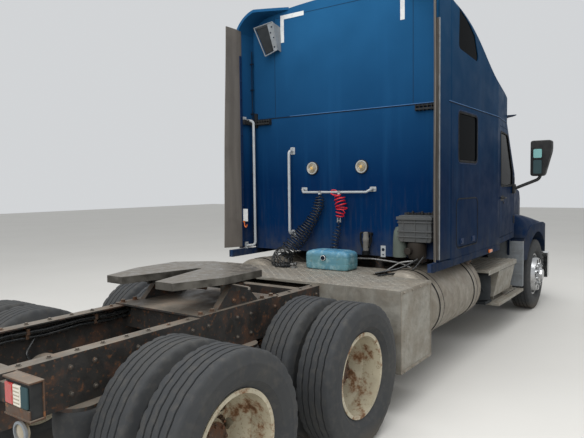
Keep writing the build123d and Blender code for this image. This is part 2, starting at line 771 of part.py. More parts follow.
UPPER_WINDOW = side_view([(2620, 3560), (2600, 3120), (3230, 3080), (3090, 3330)])
WINDSCREEN = [(-950, 1990), (950, 1990), (925, 2545), (-925, 2545)]
DOOR_CORNER = 70
WINDOW_CORNER = 55
UPPER_WINDOW_CORNER = 50


def side_cutter(points, radius, grow, sign):
    """Prism of a side outline that runs from the cab's middle out past one side."""
    with BuildPart() as cutter:
        with BuildSketch(Plane.XZ.offset(-sign * 500)):
            add(outline(points, radius, grow))
        extrude(amount=-sign * 1000)
    return cutter.part


def front_cutter(points, radius, grow):
    """Prism of a front-view outline that runs out past the cab's front."""
    with BuildPart() as cutter:
        with BuildSketch(Plane.YZ.offset(along(4400))):
            add(outline(points, radius, grow))
        extrude(amount=1200)
    return cutter.part


with BuildPart() as cab_shell:
    add(cab_outer)
    add(cab_inner, mode=Mode.SUBTRACT)
    for side in SIDES:
        add(side_cutter(DOOR, DOOR_CORNER, 0, side.sign), mode=Mode.SUBTRACT)
        add(side_cutter(luggage_outline(LUGGAGE_HIGH), DOOR_CORNER, 0, side.sign), mode=Mode.SUBTRACT)
        add(side_cutter(SLEEPER_WINDOW, WINDOW_CORNER, 0, side.sign), mode=Mode.SUBTRACT)
    add(front_cutter(WINDSCREEN, WINDOW_CORNER, 0), mode=Mode.SUBTRACT)
save(cab_shell.part, "cab_shell")

with BuildPart() as cab_glass:
    for cutter in (
        side_cutter(SLEEPER_WINDOW, WINDOW_CORNER, 0, 1),
        side_cutter(SLEEPER_WINDOW, WINDOW_CORNER, 0, -1),
        front_cutter(WINDSCREEN, WINDOW_CORNER, 0),
    ):
        add((cab_pane_outer - cab_pane_inner) & cutter)
for side in SIDES:
    with BuildPart() as door:
        add(cab_outer)
        add(cab_inner, mode=Mode.SUBTRACT)
        add(side_cutter(DOOR, DOOR_CORNER, -PANEL_GAP, side.sign), mode=Mode.INTERSECT)
        add(side_cutter(DOOR_WINDOW, WINDOW_CORNER, 0, side.sign), mode=Mode.SUBTRACT)
    save(door.part, f"door_{side.name}")
    with BuildPart() as door_glass:
        add(cab_pane_outer)
        add(cab_pane_inner, mode=Mode.SUBTRACT)
        add(side_cutter(DOOR_WINDOW, WINDOW_CORNER, 0, side.sign), mode=Mode.INTERSECT)
    save(door_glass.part, f"door_glass_{side.name}")
    with BuildPart() as luggage_door:
        add(cab_outer)
        add(cab_inner, mode=Mode.SUBTRACT)
        hinged_top = luggage_outline(LUGGAGE_HIGH + PANEL_GAP - RUNNING_GAP)
        add(side_cutter(hinged_top, DOOR_CORNER, -PANEL_GAP, side.sign), mode=Mode.INTERSECT)
    save(luggage_door.part, f"luggage_door_{side.name}")


# Roof: sections across the cab, from the back wall to the header
RoofSection = namedtuple("RoofSection", "place crown edge edge_half shoulder")
ROOF_SECTIONS = (
    RoofSection(2343, 3800, 3745, 900, 3450),
    RoofSection(2850, 3800, 3710, 880, 3280),
    RoofSection(3350, 3680, 3580, 860, 3060),
    RoofSection(3900, 3330, 3250, 850, 2900),
    RoofSection(4450, 3120, 3070, 800, 2780),
    RoofSection(4930, 2790, 2760, 800, 2650),
)


def roof_outline(section, inset, base):
    """Arched outline of one roof section, inset from the outer skin."""
    side_half = CAB_HALF + ROOF_OVERLAP - inset
    edge_half = section.edge_half - inset * 0.3
    edge = section.edge - inset
    crown = section.crown - inset
    shoulder = section.shoulder - inset * 0.3
    chord = Vector(edge_half, edge) - Vector(side_half, shoulder)
    middle = Vector(side_half, shoulder) + chord * 0.5
    bulge = Vector(chord.Y, -chord.X) * ROOF_ARC_BULGE
    swell = middle + bulge
    with BuildSketch() as face:
        with BuildLine():
            Polyline((-side_half, shoulder), (-side_half, base), (side_half, base), (side_half, shoulder))
            ThreePointArc((side_half, shoulder), (swell.X, swell.Y), (edge_half, edge))
            ThreePointArc((edge_half, edge), (0, crown), (-edge_half, edge))
            ThreePointArc((-edge_half, edge), (-swell.X, swell.Y), (-side_half, shoulder))
        make_face()
    return face.sketch


def roof_body(inset=0, base=SEAM_Z):
    """Roof above the seam as one closed body, inset from the outer skin."""
    with BuildPart() as body:
        for section in ROOF_SECTIONS:
            place = section.place
            if section is ROOF_SECTIONS[0]:
                place -= ROOF_OVERLAP
            if section is ROOF_SECTIONS[-1]:
                place += ROOF_OVERLAP
            with BuildSketch(Plane.YZ.offset(along(place))):
                add(roof_outline(section, inset, base - ROOF_OVERLAP))
        loft()
        with BuildSketch(Plane.XY.offset(base)):
            add(cab_plan(HEADER_FRONT, HEADER_CORNER_HALF, inset))
        extrude(amount=2000, mode=Mode.INTERSECT)
    return body.part


roof_outer = roof_body()
roof_inner = roof_body(WALL, SEAM_Z - 1)
with BuildPart() as roof_shell:
    add(roof_outer)
    add(roof_inner, mode=Mode.SUBTRACT)
    for side in SIDES:
        add(side_cutter(UPPER_WINDOW, UPPER_WINDOW_CORNER, 0, side.sign), mode=Mode.SUBTRACT)
save(roof_shell.part, "roof_shell")

roof_pane_outer = roof_body(GLASS_RECESS)
roof_pane_inner = roof_body(GLASS_RECESS + GLASS)
with BuildPart() as fixed_glass:
    add(cab_glass.part)
    for side in SIDES:
        cutter = side_cutter(UPPER_WINDOW, UPPER_WINDOW_CORNER, 0, side.sign)
        add((roof_pane_outer - roof_pane_inner) & cutter)
save(fixed_glass.part, "cab_glass")

# Side extenders: bands that carry the cab's back outline rearwards, with a rubber flap each
EXTENDER_REAR = 2095
EXTENDER_GAUGE = 28
EXTENDER_BOTTOM = 1137
EXTENDER_TOP_HALF = 620
EXTENDER_WRAP = 45
SWEEP_BACK = 300
BAND_MIDDLE_Z = 2500
BAND_HEIGHT = 3000
SKIRT_BOTTOM = 1055
SKIRT_INNER_HALF = 1130
SKIRT_PROUD = 6
FLAP_REAR = 1900
FLAP_GAUGE = 12
FLAP_TOP = 3560
FLAP_BOTTOM = 1155
FLAP_LAP = 50
FLAP_LAP_TOP = 3300
with BuildPart() as extenders:
    for inset, mode in ((0, Mode.ADD), (EXTENDER_GAUGE, Mode.SUBTRACT)):
        with BuildSketch(Plane.YZ.offset(along(EXTENDER_REAR))) as band:
            add(roof_outline(ROOF_SECTIONS[0], inset, EXTENDER_BOTTOM - inset))
            with Locations((0, BAND_MIDDLE_Z)):
                Rectangle(2 * (CAB_HALF - inset), BAND_HEIGHT, mode=Mode.INTERSECT)
        extrude(band.sketch, amount=CAB_REAR + EXTENDER_WRAP - EXTENDER_REAR, mode=mode)
    corner_start = CAB_HALF - REAR_CORNER_RADIUS
    between_extenders = [
        (along(EXTENDER_REAR), -EXTENDER_TOP_HALF - SWEEP_BACK),
        (along(CAB_REAR), -EXTENDER_TOP_HALF),
        (along(CAB_REAR), -corner_start),
        (along(CAB_REAR + 2 * EXTENDER_WRAP), -corner_start),
        (along(CAB_REAR + 2 * EXTENDER_WRAP), corner_start),
        (along(CAB_REAR), corner_start),
        (along(CAB_REAR), EXTENDER_TOP_HALF),
        (along(EXTENDER_REAR), EXTENDER_TOP_HALF + SWEEP_BACK),
    ]
    plan_prism(between_extenders, (0, FAR), 0, Mode.SUBTRACT)
    add(cab_outer, mode=Mode.SUBTRACT)
    add(roof_outer, mode=Mode.SUBTRACT)
    skirt = side_view([
        (1930, SKIRT_BOTTOM),
        (4030, SKIRT_BOTTOM),
        (4030, CAB_FLOOR_Z),
        (2350, CAB_FLOOR_Z),
        (2250, 1130),
        (1930, 1130),
    ])
    for side in SIDES:
        side_prism(skirt, (side.sign * SKIRT_INNER_HALF, side.sign * (CAB_HALF + SKIRT_PROUD)))
save(extenders.part, "side_fairings")

with BuildPart() as flaps:
    for side in SIDES:
        outer = side.sign * (CAB_HALF - EXTENDER_GAUGE)
        inner = outer - side.sign * FLAP_GAUGE
        flap = side_view([
            (FLAP_REAR, FLAP_BOTTOM),
            (EXTENDER_REAR + FLAP_LAP, FLAP_BOTTOM),
            (EXTENDER_REAR + FLAP_LAP, FLAP_LAP_TOP),
            (EXTENDER_REAR - 5, FLAP_LAP_TOP),
            (EXTENDER_REAR - 5, FLAP_TOP),
            (FLAP_REAR, FLAP_TOP),
        ])
        side_prism(flap, (inner, outer))
save(flaps.part, "extender_flaps")

# Cab interior: dash, seats, bunk, steering column
FLOOR_Z = CAB_FLOOR_Z + FLOOR_GAUGE
with BuildPart() as seats:
    for side in SIDES:
        y = side.sign * 560
        block((along(4060), along(4480)), (y - 200, y + 200), (FLOOR_Z, 1400))
        block((along(4000), along(4520)), (y - 260, y + 260), (1400, 1560))
        side_prism(
            side_view([(3880, 2290), (3990, 2300), (4110, 1560), (4000, 1500), (3900, 1560)]),
            (y - 250, y + 250),
            30,
        )
    bunk_half = CAB_HALF - WALL
    block((along(CAB_REAR + 90), along(3300)), (-bunk_half, bunk_half), (1690, 1730))
    block((along(CAB_REAR + 95), along(3250)), (20 - bunk_half, bunk_half - 20), (1730, 1880))
save(seats.part, "seats_and_bunk")

WHEEL_CENTRE = (along(4560), 560, 1820)
WHEEL_TILT = 35
WHEEL_RADIUS = 225
COLUMN_LENGTH = 900
wheel_normal = Vector(-cos(radians(WHEEL_TILT + 20)), 0, sin(radians(WHEEL_TILT + 20)))
hub_centre = Vector(*WHEEL_CENTRE)
with BuildPart() as steering_wheel:
    rim_plane = Plane(origin=hub_centre, x_dir=(0, 1, 0), z_dir=wheel_normal)
    section_plane = Plane(
        origin=hub_centre + Vector(0, WHEEL_RADIUS, 0),
        x_dir=(0, 1, 0),
        z_dir=rim_plane.y_dir,
    )
    with BuildSketch(section_plane):
        Circle(15)
    revolve(axis=Axis(hub_centre, wheel_normal))
    with BuildSketch(rim_plane.offset(-40)):
        Circle(60)
    extrude(amount=45)
    for angle in (90, 210, 330):
        spoke = rim_plane.x_dir * sin(radians(angle)) + rim_plane.y_dir * -cos(radians(angle))
        rod(hub_centre - wheel_normal * 15, hub_centre + spoke * (WHEEL_RADIUS - 5), 13)
save(steering_wheel.part, "steering_wheel")

with BuildPart() as dashboard:
    side_prism(
        side_view([(4780, 1700), (4830, 1900), (5240, 1930), (5240, 1450), (4940, 1450)]),
        (-FAR, FAR),
    )
    column_top = hub_centre - wheel_normal * (40 + RUNNING_GAP)
    rod(column_top, column_top - wheel_normal * COLUMN_LENGTH, 38)
    add(cab_inner, mode=Mode.INTERSECT)
save(dashboard.part, "dashboard")


# Hood: a sloping nose between two fenders, as an inset body so that it can be hollowed
def hood_nose(inset):
    """Nose of the hood: side profile, plan taper and rounded top edges."""
    side_profile = side_view([
        (HOOD_REAR - 3 * inset, HOOD_BOTTOM - 3 * inset),
        (HOOD_REAR - 3 * inset, HOOD_REAR_TOP),
        (6300, 1735),
        (6850, 1600),
        (7060, 1400),
        (HOOD_FRONT + 20, 1150),
        (HOOD_FRONT + 20, HOOD_BOTTOM - 3 * inset),
    ])
    plan = [
        (along(HOOD_REAR - 40 - 3 * inset), 1005),
        (along(6250), 850),
        (along(6950), 700),
        (along(HOOD_FRONT), 500),
        (along(HOOD_FRONT), -500),
        (along(6950), -700),
        (along(6250), -850),
        (along(HOOD_REAR - 40 - 3 * inset), -1005),
    ]
    arch_half = 1030
    arch = [
        (-arch_half, -1400),
        (arch_half, -1400),
        (arch_half, 0),
        (-arch_half, 0),
    ]
    slope_plane = Plane(
        origin=(along(HOOD_REAR) - 300, 0, HOOD_REAR_TOP + 300 * HOOD_SLOPE + 5),
        x_dir=(0, 1, 0),
        z_dir=(1, 0, -HOOD_SLOPE),
    )
    with BuildPart() as nose:
        with BuildSketch(Plane.XZ.offset(-1100)):
            add(outline(side_profile, [0, 60, 500, 300, 150, 60, 0], -inset))
        extrude(amount=2200)
        with BuildSketch(Plane.XY.offset(HOOD_BOTTOM - 300)):
            add(outline(plan, [0, 500, 200, 150, 150, 200, 500, 0], -inset))
        extrude(amount=1800, mode=Mode.INTERSECT)
        with BuildSketch(slope_plane):
            add(outline(arch, [0, 0, 260, 260], -inset))
        extrude(amount=2800, mode=Mode.INTERSECT)
    return nose.part


def hood_fenders(inset):
    """Both fenders as one wide body across the vehicle."""
    side_profile = side_view([
        (FENDER_REAR, FENDER_BOTTOM - 3 * inset),
        (FENDER_REAR, 1110),
        (5700, FENDER_TOP),
        (6350, FENDER_TOP),
        (6850, 1120),
        (7070, 950),
        (7100, FENDER_BOTTOM - 3 * inset),
    ])
    plan = [
        (along(HOOD_REAR - 40), FENDER_HALF - 30),
        (along(5800), FENDER_HALF),
        (along(6560), FENDER_HALF),
        (along(6980), 900),
        (along(7070), 500),
        (along(7070), -500),
        (along(6980), -900),
        (along(6560), -FENDER_HALF),
        (along(5800), -FENDER_HALF),
        (along(HOOD_REAR - 40), -FENDER_HALF + 30),
    ]
    with BuildPart() as fenders:
        with BuildSketch(Plane.XZ.offset(-1300)):
            add(outline(side_profile, [0, 120, 400, 400, 200, 60, 0], -inset))
        extrude(amount=2600)
        with BuildSketch(Plane.XY.offset(FENDER_BOTTOM - 300)):
            add(outline(plan, [0, 100, 300, 250, 100, 100, 250, 300, 100, 0], -inset))
        extrude(amount=1300, mode=Mode.INTERSECT)
    return fenders.part


hood_outer = hood_nose(0) + hood_fenders(0)
hood_inner = hood_nose(HOOD_WALL) + hood_fenders(HOOD_WALL)
LINER_GAUGE = 12
LINER_INNER_HALF = 560
GRILLE_LOW = 920
GRILLE_HIGH = 1330
GRILLE = [(-430, GRILLE_LOW), (430, GRILLE_LOW), (460, GRILLE_HIGH), (-460, GRILLE_HIGH)]
GRILLE_CORNER = 60
HEADLAMP = [(560, 930), (860, 940), (880, 1075), (600, 1090)]
HEADLAMP_CORNER = 40

with BuildPart() as arch_liners:
    for side in SIDES:
        inner = side.sign * LINER_INNER_HALF
        outer = side.sign * (FENDER_HALF + 100)
        rod(
            (FRONT_AXLE_X, inner, AXLE_Z),
            (FRONT_AXLE_X, outer, AXLE_Z),
            ARCH_RADIUS + LINER_GAUGE,
        )
with BuildPart() as arch_space:
    for side in SIDES:
        inner = side.sign * (LINER_INNER_HALF - 10)
        outer = side.sign * (FENDER_HALF + 150)
        rod((FRONT_AXLE_X, inner, AXLE_Z), (FRONT_AXLE_X, outer, AXLE_Z), ARCH_RADIUS)


def lamp_cutter(sign, grow):
    """Prism of one headlamp's outline through the fender's front."""
    points = [(sign * y, z) for y, z in HEADLAMP]
    with BuildPart() as cutter:
        with BuildSketch(Plane.YZ.offset(along(6700))):
            add(outline(points, HEADLAMP_CORNER, grow))
        extrude(amount=600)
    return cutter.part


with BuildPart() as grille_cutter:
    with BuildSketch(Plane.YZ.offset(along(6900))):
        add(outline(GRILLE, GRILLE_CORNER))
    extrude(amount=400)

with BuildPart() as cowl_space:
    with BuildSketch(Plane.XY.offset(FENDER_BOTTOM - 100)):
        add(cab_plan(COWL_FRONT, COWL_CORNER_HALF, -HOOD_GAP))
    extrude(amount=1500)

with BuildPart() as hood:
    add(hood_outer)
    add(hood_inner, mode=Mode.SUBTRACT)
    add(hood_outer & arch_liners.part)
    add(arch_space.part, mode=Mode.SUBTRACT)
    add(cowl_space.part, mode=Mode.SUBTRACT)
    block((along(HOOD_REAR - 50), along(FENDER_REAR + 100)), (-560, 560), (600, 1700), Mode.SUBTRACT)
    block((pivot_x - 60, pivot_x + 200), (-560, 560), (600, HOOD_BOTTOM - 10), Mode.SUBTRACT)
    add(grille_cutter.part, mode=Mode.SUBTRACT)
    for side in SIDES:
        add(lamp_cutter(side.sign, 0), mode=Mode.SUBTRACT)
    for side in SIDES:
        lug = [side.sign * half for half in HINGE_LUG_HALF]
        block((pivot_x - 22, pivot_x + 32), lug, (pivot_z - 20, HOOD_BOTTOM + 55))
    rod((pivot_x, -560, pivot_z), (pivot_x, 560, pivot_z), HINGE_PIN_RADIUS + RUNNING_GAP, Mode.SUBTRACT)
save(hood.part, "hood")

LAMP_DEPTH = 60
headlamp_back = hood_nose(LAMP_DEPTH) + hood_fenders(LAMP_DEPTH)
headlamp_front = hood_nose(4) + hood_fenders(4)
with BuildPart() as headlamps:
    for side in SIDES:
        add((headlamp_front - headlamp_back) & lamp_cutter(side.sign, 0))
save(headlamps.part, "headlamps")

GRILLE_BARS = 9
GRILLE_FRAME = 28
with BuildPart() as grille:
    with BuildSketch(Plane.YZ.offset(along(HOOD_FRONT - 55))):
        add(outline(GRILLE, GRILLE_CORNER))
        add(outline(GRILLE, GRILLE_CORNER, -GRILLE_FRAME), mode=Mode.SUBTRACT)
    extrude(amount=45)
    pitch = (GRILLE_HIGH - GRILLE_LOW - 2 * GRILLE_FRAME) / (GRILLE_BARS + 1)
    for index in range(GRILLE_BARS):
        z = GRILLE_LOW + GRILLE_FRAME + pitch * (index + 1)
        block((along(HOOD_FRONT - 45), along(HOOD_FRONT - 20)), (-410, 410), (z - 7, z + 7))
    block((along(HOOD_FRONT - 40), along(HOOD_FRONT - 22)), (-8, 8), (940, 1310))
save(grille.part, "grille")

# Front bumper: a bowed hollow beam with turned-back ends, on brackets from the rails
BUMPER_BOTTOM = 360
BUMPER_TOP = 740
BUMPER_PLAN = [(6700, 1180), (6960, 1150), (7150, 800), (FRONT_REACH, 300)]
with BuildPart() as bumper:
    loop = (
        [(along(x), -y) for x, y in BUMPER_PLAN]
        + [(along(x), y) for x, y in reversed(BUMPER_PLAN)]
        + [(along(6700), 1120), (along(6880), 1080), (along(7000), 700), (along(7040), 300)]
        + [(along(7040), -300), (along(7000), -700), (along(6880), -1080), (along(6700), -1120)]
    )
    with BuildSketch(Plane.XY.offset(BUMPER_BOTTOM)):
        add(outline(loop))
    extrude(amount=BUMPER_TOP - BUMPER_BOTTOM)
    for side in SIDES:
        block(
            (along(RAIL_FRONT - 60), along(7045)),
            (side.sign * 350, side.sign * RAIL_OUTER_HALF),
            (BUMPER_TOP - 200, RAIL_BOTTOM),
        )
save(bumper.part, "front_bumper")

# Sun visor: a sloping band that follows the header's bow
VISOR_HIGH = 2690
VISOR_LOW = 2605
VISOR_REACH = 120
VISOR_GAUGE = 8
VISOR_BACK = HEADER_FRONT - FRONT_BOW
with BuildPart() as visor:
    side_prism(
        side_view([
            (VISOR_BACK, VISOR_HIGH + 12),
            (HEADER_FRONT, VISOR_HIGH),
            (HEADER_FRONT + VISOR_REACH, VISOR_LOW),
            (HEADER_FRONT + VISOR_REACH, VISOR_LOW - VISOR_GAUGE),
            (HEADER_FRONT, VISOR_HIGH - VISOR_GAUGE),
            (VISOR_BACK, VISOR_HIGH + 12 - VISOR_GAUGE),
        ]),
        (-1400, 1400),
    )
    with BuildSketch(Plane.XY.offset(VISOR_LOW - 200)):
        add(cab_plan(HEADER_FRONT, HEADER_CORNER_HALF, 2 - VISOR_REACH))
    extrude(amount=500, mode=Mode.INTERSECT)
    with BuildSketch(Plane.XY.offset(VISOR_LOW - 200)):
        add(cab_plan(HEADER_FRONT, HEADER_CORNER_HALF, 0))
    extrude(amount=500, mode=Mode.SUBTRACT)
save(visor.part, "sun_visor")

# Door mirrors: an arm from the door and a tall head
MIRROR_INNER = 1305
MIRROR_OUTER = 1555
MIRROR_Z = (1920, 2370)
MIRROR_X = (4920, 5040)
MIRROR_BASE_X = (4840, 4930)
MIRROR_BASE_Z = (1700, 1820)


def door_face(distance):
    """Half width of the doors' outer face at a place along the cab."""
    taper_length = COWL_FRONT - FRONT_BOW - CAB_TAPER_START
    taper = (CAB_HALF - COWL_CORNER_HALF) / taper_length
    return CAB_HALF - (distance - CAB_TAPER_START) * taper


for side in SIDES:
    with BuildPart() as mirror:
        block(
            (along(MIRROR_X[0]), along(MIRROR_X[1])),
            (side.sign * MIRROR_INNER, side.sign * MIRROR_OUTER),
            MIRROR_Z,
        )
        fillet(mirror.edges().filter_by(Axis.Z), radius=35)
        fillet(mirror.edges().group_by(Axis.Z)[-1], radius=25)
        fillet(mirror.edges().group_by(Axis.Z)[0], radius=25)
        elbow = (along(4960), side.sign * 1400, 1880)
        rod((along(4890), side.sign * 1116, 1760), elbow, 20)
        rod(elbow, (along(4975), side.sign * 1420, 1935), 20)
        rear, front = MIRROR_BASE_X
        base = [
            (along(rear), side.sign * (door_face(rear) + RUNNING_GAP)),
            (along(front), side.sign * (door_face(front) + RUNNING_GAP)),
            (along(front), side.sign * (door_face(rear) + 32)),
            (along(rear), side.sign * (door_face(rear) + 32)),
        ]
        plan_prism(base, MIRROR_BASE_Z)
    save(mirror.part, f"mirror_{side.name}")

# Fifth wheel: pedestals on the rails and a tilting plate with its throat to the rear
PIVOT_Z = 1110
PEDESTAL_HALF = 370
with BuildPart() as coupling_base:
    x = along(FIFTH_WHEEL_X)
    for side in SIDES:
        low = side.sign * (PEDESTAL_HALF - 25)
        high = side.sign * (PEDESTAL_HALF + 25)
        pedestal = [
            (x - 220, RAIL_TOP + 12),
            (x + 220, RAIL_TOP + 12),
            (x + 60, PIVOT_Z + 35),
            (x - 60, PIVOT_Z + 35),
        ]
        side_prism(pedestal, (low, high))
    block((x - 420, x + 420), (-RAIL_OUTER_HALF, RAIL_OUTER_HALF), (RAIL_TOP, RAIL_TOP + 12))
    for side in SIDES:
        low = side.sign * (PEDESTAL_HALF - 40)
        high = side.sign * (PEDESTAL_HALF + 40)
        rod((x, low, PIVOT_Z), (x, high, PIVOT_Z), 22, Mode.SUBTRACT)
save(coupling_base.part, "fifth_wheel_base")

PLATE_GAUGE = 50
PLATE_HALF = 455
PLATE_FRONT = 380
RAMP_REAR = 560
RAMP_INNER_HALF = 170
RAMP_OUTER_HALF = 330
with BuildPart() as coupling_plate:
    x = along(FIFTH_WHEEL_X)
    plate = [
        (x + PLATE_FRONT, 200),
        (x + PLATE_FRONT, -200),
        (x + 200, -PLATE_HALF),
        (x - 200, -PLATE_HALF),
        (x - RAMP_REAR, -RAMP_OUTER_HALF),
        (x - RAMP_REAR, -RAMP_INNER_HALF),
        (x, -KINGPIN_SEAT_RADIUS),
        (x, KINGPIN_SEAT_RADIUS),
        (x - RAMP_REAR, RAMP_INNER_HALF),
        (x - RAMP_REAR, RAMP_OUTER_HALF),
        (x - 200, PLATE_HALF),
        (x + 200, PLATE_HALF),
    ]
    plan_prism(plate, (FIFTH_WHEEL_TOP - PLATE_GAUGE, FIFTH_WHEEL_TOP))
    rod(
        (x, 0, FIFTH_WHEEL_TOP - PLATE_GAUGE),
        (x, 0, FIFTH_WHEEL_TOP),
        KINGPIN_SEAT_RADIUS,
        Mode.SUBTRACT,
    )
    for side in SIDES:
        low = side.sign * 290
        high = side.sign * (PEDESTAL_HALF - 25 - 1)
        block((x - 70, x + 70), (low, high), (PIVOT_Z - 45, FIFTH_WHEEL_TOP - PLATE_GAUGE))
        rod((x, low, PIVOT_Z), (x, side.sign * (PEDESTAL_HALF + 25), PIVOT_Z), 22 - RUNNING_GAP)
save(coupling_plate.part, "fifth_wheel_plate")

# Fittings on the back wall
BACK_X = along(CAB_REAR)
BAR_RADIUS = 12
BAR_Z = 1762
BAR_REACH = 80
BAR_RISE = 28
BAR_KNEE = 45
BAR_BEND = 18
CLAMP_HALF = 14
COIL_TOP = 1740

# Hanging coils: middle line of each, as (distance behind the wall, Y, Z)
RED_COIL = [
    (80, -45, COIL_TOP),
    (80, -45, 1690),
    (88, -62, 1600),
    (84, -42, 1540),
    (84, -42, 1500),
]
POWER_COIL = [
    (84, -42, 1450),
    (84, -42, 1400),
    (94, 0, 1290),
    (96, 10, 1190),
    (94, 2, 1080),
    (94, 2, 1035),
]
BLACK_COIL = [
    (80, 190, COIL_TOP),
    (80, 190, 1690),
    (88, 215, 1590),
    (94, 258, 1500),
    (104, 322, 1410),
    (118, 395, 1320),
    (140, 466, 1230),
    (180, 520, 1150),
    (240, 545, 1088),
    (320, 530, 1052),
    (400, 480, 1051),
    (450, 420, 1051),
    (460, 340, 1051),
    (460, 300, 1051),
]
RED_COIL_RADIUS = 55
POWER_COIL_RADIUS = 50
BLACK_COIL_RADIUS = 50


def behind_wall(points):
    """Places behind the back wall as (X, Y, Z)."""
    return [(BACK_X - reach, y, z) for reach, y, z in points]


HANDLE_REACH = 75
HANDLE_RADIUS = 15
HANDLE_BEND = 40
INNER_HANDLE = (590, 1306, 2215)
OUTER_HANDLE = (1078, 1160, 2575)
OUTER_FOOT_REACH = 155
with BuildPart() as handles:
    bar_x = BACK_X - HANDLE_REACH
    y, low, high = INNER_HANDLE
    inner_handle = [(BACK_X, y, low), (bar_x, y, low), (bar_x, y, high), (BACK_X, y, high)]
    bent_rod(inner_handle, HANDLE_BEND, HANDLE_RADIUS)
    y, low, high = OUTER_HANDLE
    foot_x = BACK_X - OUTER_FOOT_REACH
    foot_y = CAB_HALF - EXTENDER_GAUGE
    end_y = foot_y + HANDLE_RADIUS
    outer_handle = [(foot_x, end_y, low), (bar_x, y, low), (bar_x, y, high), (foot_x, end_y, high)]
    bent_rod(outer_handle, HANDLE_BEND, HANDLE_RADIUS)
    past_foot = (foot_y, foot_y + 3 * HANDLE_RADIUS)
    beside_foot = (foot_x - 3 * HANDLE_RADIUS, foot_x + 3 * HANDLE_RADIUS)
    block(beside_foot, past_foot, (low - HANDLE_BEND, high + HANDLE_BEND), Mode.SUBTRACT)
    bar = [
        (BACK_X, 437, BAR_Z + BAR_RISE),
        (BACK_X - BAR_KNEE, 437, BAR_Z + BAR_RISE),
        (BACK_X - BAR_REACH, 400, BAR_Z),
        (BACK_X - BAR_REACH, -355, BAR_Z),
        (BACK_X - BAR_KNEE, -392, BAR_Z + BAR_RISE),
        (BACK_X, -392, BAR_Z + BAR_RISE),
    ]
    bent_rod(bar, BAR_BEND, BAR_RADIUS)
    for y in (RED_COIL[0][1], BLACK_COIL[0][1]):
        bar_x = BACK_X - BAR_REACH
        block(
            (bar_x - CLAMP_HALF, bar_x + CLAMP_HALF),
            (y - CLAMP_HALF, y + CLAMP_HALF),
            (COIL_TOP, BAR_Z),
        )
save(handles.part, "rear_handles")

LAMP_RADIUS = 70
LAMP_THICKNESS = 22
LAMP_Z = 2018
LAMP_PLACES = (325, -270)
TAIL_LAMP_Z = (825, 985)
with BuildPart() as lamps:
    for y in LAMP_PLACES:
        rod((BACK_X - LAMP_THICKNESS, y, LAMP_Z), (BACK_X, y, LAMP_Z), LAMP_RADIUS)
    for side in SIDES:
        block(
            (along(RAIL_REAR), along(RAIL_REAR + 55)),
            [side.sign * half for half in TAIL_LAMP_HALF],
            TAIL_LAMP_Z,
        )
save(lamps.part, "rear_lamps")

# Valve housing low on the right, filter beside it and the folded bracket high on the left
HOUSING_DEPTH = 190
HOUSING_BOTTOM = 1290
BOWL_RADIUS = 90
FILTER_Y = -340
FILTER_REACH = 60
FILTER_RADIUS = 33
SHEET_Y = (730, 960)
SHEET_TOP = 3490
with BuildPart() as fittings:
    block((BACK_X - HOUSING_DEPTH, BACK_X), (-710, -1060), (HOUSING_BOTTOM, HOUSING_BOTTOM + 255))
    bowl_x = BACK_X - HOUSING_DEPTH / 2
    rod((bowl_x, -900, HOUSING_BOTTOM - 165), (bowl_x, -900, HOUSING_BOTTOM), BOWL_RADIUS)
    filter_x = BACK_X - FILTER_REACH
    rod((filter_x, FILTER_Y, 1145), (filter_x, FILTER_Y, 1360), FILTER_RADIUS)
    block((filter_x, BACK_X), (FILTER_Y - 10, FILTER_Y + 10), (1300, 1340))
    block((BACK_X - 120, BACK_X), SHEET_Y, (SHEET_TOP - 10, SHEET_TOP))
    block((BACK_X - 8, BACK_X), SHEET_Y, (SHEET_TOP - 190, SHEET_TOP))
save(fittings.part, "rear_fittings")

with BuildPart() as canister:
    block((BACK_X - 420, BACK_X - 180), (-330, 170), (DECK_Z, DECK_Z + 170))
    fillet(canister.edges(), radius=30)
    rod((BACK_X - 300, 60, DECK_Z + 165), (BACK_X - 300, 60, DECK_Z + 195), 38)
save(canister.part, "water_canister")

for name, route, radius in (
    ("air_coil_red", RED_COIL, RED_COIL_RADIUS),
    ("power_coil", POWER_COIL, POWER_COIL_RADIUS),
    ("air_coil_black", BLACK_COIL, BLACK_COIL_RADIUS),
):
    with BuildPart() as coil:
        coil_envelope(behind_wall(route), radius)
    save(coil.part, name)

# Couplings on the coils' ends
with BuildPart() as hose_ends:
    reach, y, z = RED_COIL[-1]
    block((BACK_X - reach - 22, BACK_X - reach + 22), (y - 25, y + 25), (POWER_COIL[0][2], z))
    reach, y, z = POWER_COIL[-1]
    block((BACK_X - reach - 25, BACK_X - reach + 25), (y - 25, y + 25), (DECK_Z, z))
    reach, y, z = BLACK_COIL[-1]
    block((BACK_X - reach - 30, BACK_X - reach + 30), (y - 60, y), (DECK_Z, DECK_Z + 80))
save(hose_ends.part, "hose_ends")
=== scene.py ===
from math import cos, pi, radians, sin, sqrt
from random import Random

import bmesh
import bpy
from mathutils import Matrix, Vector


